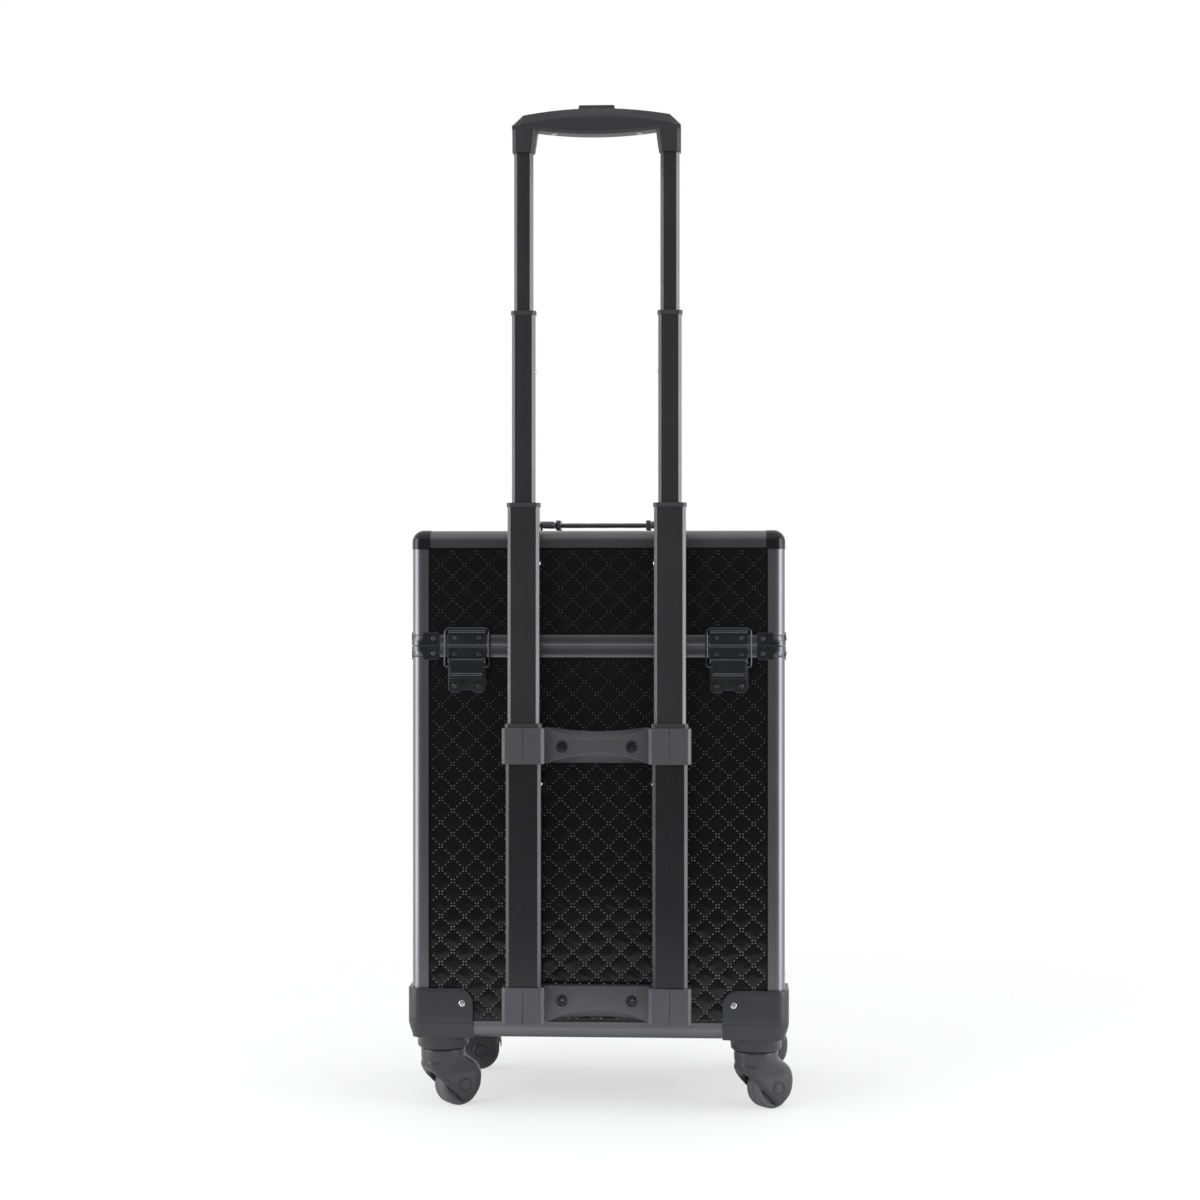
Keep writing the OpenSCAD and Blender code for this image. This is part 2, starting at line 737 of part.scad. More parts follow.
// Fasteners
module body_rivets() color(metal_black) in_place() {
    at_plate_rivets() rivet(rivet_len + plate_t);
    at_bracket_rivets(joint_z - bracket_rivet_z) rivet(rivet_len + plate_t);
}
module lid_rivets() color(metal_black) in_place() {
    at_strike_rivets() rivet(rivet_len + plate_t);
    at_bracket_rivets(lid_bottom + bracket_rivet_z) rivet(rivet_len + plate_t);
}
module body_screws() color(steel) in_place() {
    at_housing_screws() screw(housing_screw_len);
    at_bracket_screws() screw(bracket_screw_len);
}

// Corner housings with the round bosses that carry the casters

// Outline of one housing seen along Y: its inner upper corner is rounded
module housing_side(reach) {
    translate([-housing_wall, skirt_z]) difference() {
        square([reach + housing_wall, case_bottom + housing_h - skirt_z]);
        translate([reach + housing_wall - housing_r, case_bottom + housing_h - skirt_z - housing_r])
            difference() {
                square(housing_r + 1);
                circle(housing_r);
            }
    }
}
module wheel_housings() color(plastic_grey) in_place() difference() {
    at_corners() difference() {
        union() {
            intersection() {
                translate([0, 0, skirt_z]) linear_extrude(housing_h + housing_floor)
                    translate([-housing_wall, -housing_wall])
                        round_square(housing_reach + housing_wall, corner_r + housing_wall);
                rotate([90, 0, 0]) translate([0, 0, -housing_reach - 1])
                    linear_extrude(housing_reach + housing_wall + 2) housing_side(housing_reach);
                rotate([90, 0, 90]) translate([0, 0, -housing_wall - 1])
                    linear_extrude(housing_reach + housing_wall + 2) housing_side(housing_reach);
            }
            translate([caster_inset, caster_inset, boss_bottom]) cylinder(h = boss_h + 1, r = boss_r);
        }
        translate([caster_inset, caster_inset, 0])
            cylinder(h = case_bottom + 1, r = swivel_r + hole_play);
    }
    translate([0, 0, case_bottom]) linear_extrude(housing_h + 1) case_outline();
    at_housing_screws() screw_hole(housing_screw_len);
}

// Swivel pins: the shank is fast in the boss, the head holds the fork up
module swivel_pins() color(steel) in_place()
    for (sx = [-1, 1], sy = [-1, 1]) translate([sx * caster_x, sy * caster_y, 0]) {
        translate([0, 0, fork_top - pin_head_h])
            cylinder(h = case_bottom - fork_top + pin_head_h, r = swivel_r);
        translate([0, 0, fork_top - 2 * pin_head_h]) cylinder(h = pin_head_h, r = pin_head_r);
    }

// Places of the casters, turned so that +X is the way that the wheel trails
module at_caster(i) {
    sx = i % 2 == 0 ? -1 : 1;
    sy = i < 2 ? -1 : 1;
    translate([sx * caster_x, sy * caster_y, 0])
        rotate([0, 0, i == 2 ? third_turn : trail_turn]) children();
}
module wheel_room(r, w) {
    translate([trail, 0, wheel_r]) rotate([90, 0, 0]) cylinder(h = w, r = r, center = true);
}

// Moulded fork: a full hood round the wheel, open in front and below, under a round neck
module caster_fork(i) color(plastic) in_place() at_caster(i) {
    room_r = wheel_r + wheel_gap;
    room_w = wheel_w + 2 * cheek_gap;
    neck_root = fork_top - neck_h - hood_t - 3;
    mouth_x = trail - 8;
    mouth_z = wheel_r + 11;
    head_room = 30;
    difference() {
        union() {
            intersection() {
                wheel_room(hood_r, fork_w);
                translate([trail - 2 * hood_r, -fork_w, hood_lift]) cube(4 * hood_r);
            }
            translate([0, 0, neck_root]) cylinder(h = fork_top - neck_root, r = neck_r);
            wheel_room(axle_cover_r, fork_w + 2 * axle_cover_h);
        }
        wheel_room(room_r, room_w);
        translate([mouth_x - 2 * hood_r, -room_w / 2, -1]) cube([2 * hood_r, room_w, mouth_z + 1]);
        translate([0, 0, -1]) cylinder(h = fork_top + 2, r = swivel_r + axle_play);
        translate([0, 0, fork_top - 2 * pin_head_h - head_room])
            cylinder(h = head_room + pin_head_h + swivel_gap, r = pin_head_r + swivel_gap);
        wheel_room(axle_r, axle_l);
    }
    wheel_room(axle_r, axle_l);
}
module caster_fork_1() caster_fork(0);
module caster_fork_2() caster_fork(1);
module caster_fork_3() caster_fork(2);
module caster_fork_4() caster_fork(3);

// Wheel with a rounded tread and a recess in each side
module wheel(i) color(rubber) in_place() at_caster(i)
    translate([trail, 0, wheel_r]) rotate([90, 0, 0]) rotate_extrude() {
        bore_r = axle_r + axle_play;
        hub_r = axle_r + 3;
        recess_w = wheel_r - tread_r - 2 - hub_r;
        difference() {
            translate([bore_r, -wheel_w / 2]) square([wheel_r - tread_r - bore_r, wheel_w]);
            for (s = [-1, 1]) translate([hub_r, s * wheel_w / 2 - wheel_recess])
                square([recess_w, 2 * wheel_recess]);
        }
        translate([wheel_r - tread_r - e, -wheel_w / 2 + tread_r])
            square([tread_r + e, wheel_w - 2 * tread_r]);
        for (s = [-1, 1]) translate([wheel_r - tread_r, s * (wheel_w / 2 - tread_r)]) circle(tread_r);
    }
module wheel_1() wheel(0);
module wheel_2() wheel(1);
module wheel_3() wheel(2);
module wheel_4() wheel(3);

// Draw latches

module latch_strikes() color(metal_black) in_place() difference() {
    at_latches() {
        translate([-latch_w / 2, -base_plate_front, lid_bottom + plate_gap])
            cube([latch_w, plate_t, strike_h + roll_r - plate_gap]);
        translate([-latch_w / 2, -roll_y, roll_z]) rotate([0, 90, 0]) cylinder(h = latch_w, r = roll_r);
    }
    lid_fixings();
}
module latch_plates() color(metal_black) in_place() difference() {
    at_latches() {
        translate([-latch_w / 2, -base_plate_front, plate_low])
            cube([latch_w, plate_t, base_plate_h]);
        for (s = [-1, 1]) translate([s * (latch_w - ear_t) / 2, -pivot_y, pivot_z]) {
            rotate([0, 90, 0]) cylinder(h = ear_t, r = ear_r, center = true);
            translate([-ear_t / 2, 0, -ear_r]) cube([ear_t, pivot_out + e, 2 * ear_r]);
        }
    }
    at_latches() translate([0, -pivot_y, pivot_z]) rotate([0, 90, 0])
        cylinder(h = latch_w + 2, r = pin_r + hole_play, center = true);
    at_latches() translate([-plate_notch_w / 2, -base_plate_front - 1, plate_low - 1])
        cube([plate_notch_w, plate_t + 2, plate_notch_h + 1]);
    body_fixings();
}
module latch_pins() color(steel) in_place()
    at_latches() translate([0, -pivot_y, pivot_z]) rotate([0, 90, 0])
        cylinder(h = latch_w, r = pin_r, center = true);

// Lever: a barrel on the pin, a plate with a finger lip, and two flanges that hold the loop
module latch_lever(i) color(metal_black) in_place() at_latches([i]) {
    flange_edge = 0.7;
    flange_low = loop_z - wire_r - 1;
    difference() {
        union() {
            translate([0, -pivot_y, pivot_z]) rotate([0, 90, 0])
                cylinder(h = lever_w, r = barrel_r, center = true);
            translate([-lever_w / 2, -lever_plate_y - lever_plate_t, pivot_z - lever_len])
                cube([lever_w, lever_plate_t, lever_len]);
            translate([-lever_w / 2, -lever_plate_y - lip_out, pivot_z - lever_len])
                cube([lever_w, lip_out, lever_plate_t]);
            for (s = [-1, 1])
                translate([s * (lever_w - ear_t) / 2 - ear_t / 2, -lever_plate_y - e, flange_low])
                    cube([ear_t, lever_plate_y - loop_y + wire_r + flange_edge + e,
                        pivot_z - loop_z + wire_r]);
        }
        translate([0, -pivot_y, pivot_z]) rotate([0, 90, 0])
            cylinder(h = lever_w + 2, r = pin_r + axle_play, center = true);
        translate([0, -loop_y, loop_z]) rotate([0, 90, 0])
            cylinder(h = lever_w + 2, r = wire_r + axle_play, center = true);
    }
}
module latch_lever_1() latch_lever(0);
module latch_lever_2() latch_lever(1);
module latch_lever_3() latch_lever(2);
module latch_lever_4() latch_lever(3);

// Wire loop: two side wires, a hooked bar and two ends turned into the lever
module latch_loop(i) color(steel) in_place() at_latches([i])
    translate([0, -loop_y, loop_z]) rotate([-loop_lean, 0, 0]) {
        side = loop_w / 2;
        end_in = lever_w / 2 - ear_t - 1;
        translate([0, 0, loop_len]) rotate([0, 90, 0])
            cylinder(h = loop_w - 2 * loop_bend, r = wire_r, center = true);
        for (s = [0, 1]) mirror([s, 0, 0]) {
            translate([side, 0, 0]) translate([0, 0, loop_bend / 2])
                cylinder(h = loop_len - loop_bend * 1.5, r = wire_r);
            translate([side - loop_bend, 0, loop_len - loop_bend]) rotate([90, 0, 0])
                rotate_extrude(angle = 90) translate([loop_bend, 0]) circle(wire_r);
            translate([side - loop_bend / 2, 0, loop_bend / 2]) rotate([90, 0, 0])
                rotate_extrude(angle = -90) translate([loop_bend / 2, 0]) circle(wire_r);
            translate([end_in, 0, 0]) rotate([0, 90, 0])
                cylinder(h = side - loop_bend / 2 - end_in, r = wire_r);
        }
    }
module latch_loop_1() latch_loop(0);
module latch_loop_2() latch_loop(1);
module latch_loop_3() latch_loop(2);
module latch_loop_4() latch_loop(3);

// Folding carry handle on the lid: it lies flat towards +Y and pivots on the line of its mounts
module carry_handle() color(plastic_grey) in_place() translate([0, carry_y, carry_z]) difference() {
    arm_short = 3;
    union() {
        for (y = [carry_bar_t / 2, carry_bar_w - carry_bar_t / 2])
            translate([-carry_bar_l / 2 - e, carry_arm + y, 0]) rotate([0, 90, 0])
                cylinder(h = carry_bar_l + 2 * e, r = carry_bar_t / 2);
        translate([-carry_bar_l / 2 - e, carry_arm + carry_bar_t / 2, -carry_bar_t / 2])
            cube([carry_bar_l + 2 * e, carry_bar_w - carry_bar_t, carry_bar_t]);
        for (s = [0, 1]) mirror([s, 0, 0]) {
            translate([carry_bar_l / 2, carry_arm - collar_over, -carry_collar_t / 2])
                cube([carry_collar_w + e, carry_bar_w + 2 * collar_over, carry_collar_t]);
            translate([carry_bar_l / 2 + carry_collar_w, 0, -carry_arm_t / 2])
                cube([carry_arm_w, carry_arm + carry_bar_w - arm_short, carry_arm_t]);
            translate([carry_half - barrel_l, 0, 0]) rotate([0, 90, 0])
                cylinder(h = barrel_l, r = carry_barrel_r);
        }
    }
    rotate([0, 90, 0]) cylinder(h = 2 * carry_half + 2, r = carry_pin_r + axle_play, center = true);
}
// Mounts: a plate on the lid with an ear outside and inside each barrel
module handle_mounts() color(metal_black) in_place() for (s = [0, 1]) mirror([s, 0, 0])
    translate([0, carry_y, 0]) difference() {
        union() {
            translate([carry_half - barrel_l - mount_gap - 2 * mount_t, -mount_w / 2, case_top - cover_t])
                cube([barrel_l + 2 * mount_gap + 5 * mount_t, mount_w, mount_t + cover_t]);
            translate([carry_half + mount_gap, -carry_barrel_r, case_top + mount_t - e])
                cube([mount_t, 2 * carry_barrel_r, carry_pivot_h]);
            translate([carry_half + mount_gap, 0, carry_z]) rotate([0, 90, 0])
                cylinder(h = mount_t, r = carry_barrel_r);
        }
        translate([carry_half - 1, 0, carry_z]) rotate([0, 90, 0])
            cylinder(h = mount_t + 4, r = carry_pin_r + hole_play);
    }
module handle_pins() color(steel) in_place() for (s = [0, 1]) mirror([s, 0, 0])
    translate([carry_half - barrel_l + 1, carry_y, carry_z]) rotate([0, 90, 0]) {
        pin_l = barrel_l + mount_t + mount_gap - 1;
        pin_head = 1.2;
        cylinder(h = pin_l, r = carry_pin_r);
        translate([0, 0, pin_l]) cylinder(h = pin_head, r = carry_pin_r + 1);
    }

// Trolley tubes

// Flattened section with chamfered edges and a crease down its front
module tube_section(w, d) {
    c = tube_chamfer;
    k = tube_crease;
    polygon([[-w / 2 + c, k - d / 2], [0, -d / 2], [w / 2 - c, k - d / 2], [w / 2, k + c - d / 2],
        [w / 2, d / 2 - c], [w / 2 - c, d / 2], [c - w / 2, d / 2], [-w / 2, d / 2 - c],
        [-w / 2, k + c - d / 2]]);
}
module at_tubes() {
    for (s = [0, 1]) mirror([s, 0, 0]) translate([tube_x, tube_y, 0]) children();
}
// Tube of one stage with a lock hole in its inner side
module stage_tube(i, z0, z1, hole_z) {
    at_tubes() difference() {
        translate([0, 0, z0]) linear_extrude(z1 - z0) difference() {
            tube_section(stage_w(i), stage_d(i));
            tube_section(stage_w(i) - 2 * tube_wall, stage_d(i) - 2 * tube_wall);
        }
        for (z = hole_z) translate([0, 0, z]) rotate([0, -90, 0])
            cylinder(h = stage_w(i), r = lock_hole_r);
    }
}
// Rim on top of stage i, guiding the next stage
module stage_rim(i) {
    at_tubes() translate([0, 0, rim_z[i]]) linear_extrude(rim_h) difference() {
        tube_section(stage_w(i) + 2 * rim_proud, stage_d(i) + 2 * rim_proud);
        tube_section(stage_w(i + 1) + 2 * slide_gap, stage_d(i + 1) + 2 * slide_gap);
    }
}
// Guide bush on the lower end of stage i, with the lock pin that shows in the outer tube's hole
module stage_bush(i) {
    z0 = rim_z[i - 1] - stage_overlap;
    bore_less = 2 * tube_wall + 2 * slide_gap;
    plug_less = 2 * tube_wall + 2 * plug_gap;
    at_tubes() translate([0, 0, z0]) {
        translate([0, 0, -bush_h]) linear_extrude(bush_h)
            tube_section(stage_w(i - 1) - bore_less, stage_d(i - 1) - bore_less);
        linear_extrude(stage_overlap - lock_depth + 2 * lock_hole_r)
            tube_section(stage_w(i) - plug_less, stage_d(i) - plug_less);
        // The pin's end follows the inside of the tube that it slides in
        intersection() {
            translate([0, 0, stage_overlap - lock_depth]) rotate([0, -90, 0])
                cylinder(h = stage_w(i - 1) / 2 - tube_wall, r = lock_hole_r - hole_play);
            linear_extrude(stage_overlap)
                tube_section(stage_w(i - 1) - bore_less, stage_d(i - 1) - bore_less);
        }
    }
}
module outer_tubes() color(plastic) in_place()
    stage_tube(0, bracket_low, rim_z[0], [rim_z[0] - lock_depth]);
module second_tubes() color(plastic_grey) in_place()
    stage_tube(1, rim_z[0] - stage_overlap, rim_z[1], [rim_z[0] - lock_depth, rim_z[1] - lock_depth]);
module third_tubes() color(plastic_grey) in_place()
    stage_tube(2, rim_z[1] - stage_overlap, rim_z[2], [rim_z[1] - lock_depth, rim_z[2] - lock_depth]);
module top_tubes() color(plastic_grey) in_place()
    stage_tube(3, rim_z[2] - stage_overlap, grip_split, [rim_z[2] - lock_depth]);
module outer_rims() color(plastic) in_place() stage_rim(0);
module second_bushes() color(plastic) in_place() {
    stage_rim(1);
    stage_bush(1);
}
module third_bushes() color(plastic) in_place() {
    stage_rim(2);
    stage_bush(2);
}
module top_bushes() color(plastic) in_place() stage_bush(3);

// Tube brackets: a sleeve round each outer tube and a bridge screwed to the back board
function arc_r(half, sag) = (half * half + sag * sag) / (2 * sag);
module bridge_outline(half, top, low) {
    difference() {
        translate([-bridge_half - 1, 0]) square([2 * bridge_half + 2, bracket_h]);
        if (top > 0) translate([0, bracket_h + arc_r(half, top) - top]) circle(arc_r(half, top), $fn = 120);
        if (low > 0) translate([0, low - arc_r(half, low)]) circle(arc_r(half, low), $fn = 120);
    }
}
module tube_bracket(z, top, low, top_back, low_back) {
    wall_y = -(case_d / 2 - cover_t);
    difference() {
        translate([0, 0, z]) {
            at_tubes() linear_extrude(bracket_h) {
                tube_section(sleeve_w, tube_d + 2 * sleeve_wall);
                translate([-sleeve_w / 2, 0]) square([sleeve_w, wall_y - tube_y]);
            }
            translate([0, wall_y, 0]) rotate([90, 0, 0]) linear_extrude(bridge_back_t)
                bridge_outline(scoop_half - scoop_inset, top_back, low_back);
            translate([0, wall_y - 1, 0]) rotate([90, 0, 0])
                linear_extrude(bridge_t + bridge_back_t - 1) bridge_outline(scoop_half, top, low);
        }
        at_tubes() translate([0, 0, z - 1]) linear_extrude(bracket_h + 2) tube_section(tube_w, tube_d);
        at_bracket_screws() {
            screw_hole(bracket_screw_len);
            rotate([90, 0, 0]) cylinder(h = recess_d + 1, r = recess_r);
        }
        // Room for the bottom edge profile behind the lower bracket
        translate([-case_w / 2, -case_d / 2, case_bottom]) cube([case_w, case_d / 2, profile_w]);
        body_fixings();
    }
}
module upper_bracket() color(plastic_grey) in_place()
    tube_bracket(bracket_top - bracket_h, scoop, scoop * 0.8, scoop_back, 0);
module lower_bracket() color(plastic_grey) in_place()
    tube_bracket(bracket_low, 0, scoop, 0, scoop_back);

// Trolley grip: cover and base meet on a level joint, the legs take the top tubes
module grip_outline() {
    tip_h = 5;
    foot = stage_w(3) / 2 + grip_foot_wall;
    intersection() {
        union() {
            polygon([[-tube_x - foot, grip_z], [-grip_w / 2, grip_under + tip_h],
                [grip_shoulder - grip_w / 2, grip_under + grip_bar_h], [0, grip_peak + grip_rise + 2],
                [grip_w / 2 - grip_shoulder, grip_under + grip_bar_h], [grip_w / 2, grip_under + tip_h],
                [tube_x + foot, grip_z], [tube_x - foot, grip_z],
                [grip_inner, grip_under], [-grip_inner, grip_under], [foot - tube_x, grip_z]]);
            intersection() {
                translate([0, grip_under - grip_bow + arc_r(grip_inner, grip_bow)])
                    circle(arc_r(grip_inner, grip_bow), $fn = 160);
                translate([-grip_inner, grip_under - grip_bow - 1]) square([2 * grip_inner, grip_bow + 2]);
            }
        }
        translate([0, grip_peak - arc_r(grip_w / 2 - grip_shoulder, grip_rise)])
            circle(arc_r(grip_w / 2 - grip_shoulder, grip_rise), $fn = 200);
    }
}
module grip_solid() {
    translate([0, tube_y + grip_d / 2, 0]) rotate([90, 0, 0]) linear_extrude(grip_d) grip_outline();
}
module grip_half(z0, z1) {
    intersection() {
        grip_solid();
        translate([-grip_w, tube_y - grip_d, z0]) cube([2 * grip_w, 2 * grip_d, z1 - z0]);
    }
}
module grip_cover() color(plastic) in_place() difference() {
    grip_half(grip_split, grip_peak + 1);
    // Room for the button and its flange
    room_l = button_l + 2 * button_flange + 2;
    room_w = button_w + 2 * button_flange + 2 * button_gap;
    translate([-room_l / 2, tube_y - room_w / 2, grip_split - 1])
        cube([room_l, room_w, button_flange_z + button_flange_t - grip_split + 1 + button_gap]);
    translate([-button_l / 2 - button_gap, tube_y - button_w / 2 - button_gap, grip_split])
        cube([button_l + 2 * button_gap, button_w + 2 * button_gap, grip_bar_h + grip_rise]);
}
module grip_base() color(plastic) in_place() difference() {
    grip_half(grip_z - 1, grip_split);
    at_tubes() translate([0, 0, grip_z - 1]) linear_extrude(grip_split - grip_z + 2)
        tube_section(stage_w(3), stage_d(3));
}
module release_button() color(plastic) in_place() translate([0, tube_y, button_flange_z]) difference() {
    flange_l = button_l + 2 * (button_flange - button_gap);
    flange_w = button_w + 2 * (button_flange - button_gap);
    union() {
        translate([-button_l / 2, -button_w / 2, 0])
            cube([button_l, button_w, button_top - button_flange_z]);
        translate([-flange_l / 2, -flange_w / 2, 0]) cube([flange_l, flange_w, button_flange_t]);
    }
    translate([0, 0, -1]) cylinder(h = spring_in + 1 + spring_room, r = spring_r + spring_play);
}
module button_spring() color(steel) in_place() translate([0, tube_y, grip_split]) difference() {
    spring_l = button_flange_z - grip_split + spring_in;
    cylinder(h = spring_l, r = spring_r);
    translate([0, 0, -1]) cylinder(h = spring_l + 2, r = spring_r - spring_wall);
}

base_panel();
front_panel();
back_panel();
end_panels();
body_lining();
body_posts();
base_profiles();
body_rail();
body_rail_brackets();
wheel_housings();
swivel_pins();
latch_plates();
latch_pins();
body_rivets();
body_screws();
outer_tubes();
outer_rims();
upper_bracket();
lower_bracket();
lid_top_panel();
lid_front_panel();
lid_back_panel();
lid_end_panels();
lid_lining();
lid_posts();
lid_profiles();
lid_corner_caps();
lid_rail();
lid_rail_brackets();
latch_strikes();
lid_rivets();
handle_mounts();
handle_pins();
carry_handle();
second_tubes();
second_bushes();
third_tubes();
third_bushes();
top_tubes();
top_bushes();
grip_cover();
grip_base();
release_button();
button_spring();
caster_fork_1();
caster_fork_2();
caster_fork_3();
caster_fork_4();
wheel_1();
wheel_2();
wheel_3();
wheel_4();
latch_lever_1();
latch_lever_2();
latch_lever_3();
latch_lever_4();
latch_loop_1();
latch_loop_2();
latch_loop_3();
latch_loop_4();
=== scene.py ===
import bmesh
import bpy
import numpy as np
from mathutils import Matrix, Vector


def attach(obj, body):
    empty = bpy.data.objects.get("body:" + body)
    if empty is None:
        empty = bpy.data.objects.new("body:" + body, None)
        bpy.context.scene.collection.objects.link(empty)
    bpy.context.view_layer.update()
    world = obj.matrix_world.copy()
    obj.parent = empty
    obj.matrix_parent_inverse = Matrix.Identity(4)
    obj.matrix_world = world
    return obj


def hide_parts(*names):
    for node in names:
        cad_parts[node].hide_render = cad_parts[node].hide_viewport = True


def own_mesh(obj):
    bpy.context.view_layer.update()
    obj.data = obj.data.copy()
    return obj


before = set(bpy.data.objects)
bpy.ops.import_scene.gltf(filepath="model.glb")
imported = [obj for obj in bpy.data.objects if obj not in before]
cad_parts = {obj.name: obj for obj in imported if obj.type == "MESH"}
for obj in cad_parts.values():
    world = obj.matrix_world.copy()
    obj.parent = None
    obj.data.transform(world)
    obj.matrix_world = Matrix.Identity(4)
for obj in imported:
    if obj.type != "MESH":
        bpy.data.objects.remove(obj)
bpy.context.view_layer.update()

# The studio. A pale floor runs out into a white backdrop, with large soft lamps in front and
# overhead and two strip lamps beside it, whose light runs down its edges. The camera stands
# 2.3 m from the trolley side, at half the height of the whole.

scene = bpy.context.scene
scene.view_settings.view_transform = "Standard"
WHITE = "#FFFFFF"
AMBIENT = 0.63
CAMERA_TURN = 3.0
CAMERA_DISTANCE = 2.262
CAMERA_HEIGHT = 0.494
CAMERA_X = 0.0031
CAMERA_LENS, FILM_W = 71, 36
FACE_Y = -0.125
FLOOR_HALF = 2
FLOOR_FADE = (0.35, 1.2)
FLOOR_GLOW = 0.6


def linear(code):
    """Linear RGBA of an sRGB hex colour: c / 12.92 up to 0.04045, else
    ((c + 0.055) / 1.055) ** 2.4."""
    c = np.array([int(code[i:i + 2], 16) for i in (1, 3, 5)]) / 255
    c = np.where(c <= 0.04045, c / 12.92, ((c + 0.055) / 1.055) ** 2.4)
    return (*c, 1.0)


def join(tree, source, socket):
    """Links a socket, or the first output of a node, to an input."""
    tree.links.new(source.outputs[0] if hasattr(source, "outputs") else source, socket)


def add(tree, kind, settings=None, links=None):
    """Adds one shader node: settings fill its inputs or properties, links join its inputs to
    sockets or other nodes."""
    node = tree.nodes.new("ShaderNode" + kind)
    for key, value in (settings or {}).items():
        if isinstance(key, int) or key in node.inputs:
            node.inputs[key].default_value = value
        else:
            setattr(node, key, value)
    for key, source in (links or {}).items():
        join(tree, source, node.inputs[key])
    return node


def lamp(name, place, target, size, power, mirrored=False):
    """Soft lamp of size (width, height) at place, in metres, turned towards target. Glossy surfaces
    show it only where it is mirrored."""
    light = bpy.data.lights.new(name, "AREA")
    light.shape = "RECTANGLE"
    light.size, light.size_y = size
    light.energy = power
    thing = bpy.data.objects.new(name, light)
    thing.location = place
    thing.visible_glossy = mirrored
    thing.visible_camera = False
    thing.rotation_euler = (Vector(target) - Vector(place)).to_track_quat("-Z", "Y").to_euler()
    scene.collection.objects.link(thing)


world = bpy.data.worlds.new("white_studio")
scene.world = world
world.use_nodes = True
sky = world.node_tree
sky.nodes.clear()
rays = add(sky, "LightPath")
way = add(sky, "TexCoord")
way = add(sky, "SeparateXYZ", links={0: way.outputs["Generated"]})
# Glossy surfaces see a white wall behind the object, a pale ceiling and a dark room in front
room = add(sky, "MapRange", {"From Min": -0.85, "From Max": 0.2, "To Min": 0.11, "To Max": 1.0},
           {"Value": way.outputs["Y"]})
seen = add(sky, "Math", {"operation": "MAXIMUM"},
           {0: rays.outputs["Is Camera Ray"], 1: rays.outputs["Is Transmission Ray"]})
ceiling = add(sky, "MapRange", {"From Min": 0.3, "From Max": 0.9, "To Max": 0.8},
              {"Value": way.outputs["Z"]})
room = add(sky, "Math", {"operation": "MAXIMUM"}, {0: room, 1: ceiling})
power = add(sky, "Mix", {2: AMBIENT}, {0: rays.outputs["Is Glossy Ray"], 3: room})
power = add(sky, "Mix", {3: 1.0}, {0: seen, 2: power})
glow = add(sky, "Background", {"Color": linear(WHITE)}, {"Strength": power})
add(sky, "OutputWorld", links={"Surface": glow})

lamp("lamp_left", (-1.5, -2.1, 1.6), (0, 0, 0.45), (1.2, 1.2), 24)
lamp("lamp_right", (1.9, -1.7, 1.2), (0, 0, 0.4), (1.2, 1.2), 9)
lamp("lamp_top", (0.1, 0.2, 2.4), (0, 0, 0.5), (1.4, 1.4), 14)
lamp("strip_left", (-1.75, -0.5, 0.55), (0, 0, 0.45), (1.0, 1.6), 17, True)
lamp("strip_right", (1.75, -0.5, 0.55), (0, 0, 0.45), (1.0, 1.6), 17, True)

turn = np.radians(CAMERA_TURN)
camera = bpy.data.objects.new("camera", bpy.data.cameras.new("camera"))
camera.data.lens, camera.data.sensor_width = CAMERA_LENS, FILM_W
camera.location = (CAMERA_X + CAMERA_DISTANCE * np.sin(turn),
                   FACE_Y - CAMERA_DISTANCE * np.cos(turn), CAMERA_HEIGHT)
camera.rotation_euler = (np.radians(90), 0, turn)
scene.collection.objects.link(camera)
scene.camera = camera

paper = bpy.data.materials.new("matt_white_floor_paper")
paper.use_nodes = True
tree = paper.node_tree
tree.nodes.clear()
spot = add(tree, "TexCoord")
reach = add(tree, "VectorMath", {"operation": "LENGTH"}, {0: spot.outputs["Object"]})
fade = add(tree, "MapRange",
           {"interpolation_type": "SMOOTHSTEP", "From Min": FLOOR_FADE[0], "From Max": FLOOR_FADE[1]},
           {"Value": reach.outputs["Value"]})
matt = add(tree, "BsdfDiffuse", {"Color": linear("#F6F7F8")})
clear = add(tree, "BsdfTransparent")
# To the camera, three fifths of the paper's brightness are its own, so that it is white to its edge
white = add(tree, "Emission", {"Color": linear(WHITE)})
seen = add(tree, "LightPath")
share = add(tree, "Math", {"operation": "MULTIPLY", 1: FLOOR_GLOW}, {0: seen.outputs["Is Camera Ray"]})
sheet = add(tree, "MixShader", links={0: share, 1: matt, 2: white})
both = add(tree, "MixShader", links={0: fade, 1: sheet, 2: clear})
add(tree, "OutputMaterial", links={"Surface": both})
corner = np.array([[-1, -1, 0], [1, -1, 0], [1, 1, 0], [-1, 1, 0]]) * FLOOR_HALF
ground = bpy.data.meshes.new("studio_floor")
ground.from_pydata(corner.tolist(), [], [[0, 1, 2, 3]])
ground.materials.append(paper)
floor = bpy.data.objects.new("studio_floor", ground)
scene.collection.objects.link(floor)

# The covered boards. Each 5 mm board is wrapped in glossy black vinyl over thin foam, stitched
# through in diamonds 23.2 mm across. The sheet is modelled on its own, over the board's face.

MIDDLE_Y = 9.65
DIAMOND_W, DIAMOND_H = 23.2, 22.65
QUILT_X, QUILT_Z = 10.7, 7.4
STEPS_PER_DIAMOND = 16
SWELL = 0.32
SHEET_T = 0.12
SHEET_SLOPE = 3.5
SUNK = 0.3
STITCH_FREE = 3
HALF_W, HALF_D = 180, 120
PROFILE_W = 16.5
BOARD_FACE = 1.5
CASE_LOW, CASE_HIGH = 71.4, 560.9
JOINT_LOW, JOINT_HIGH = 449.4, 449.9
RAIL_H = 10.5


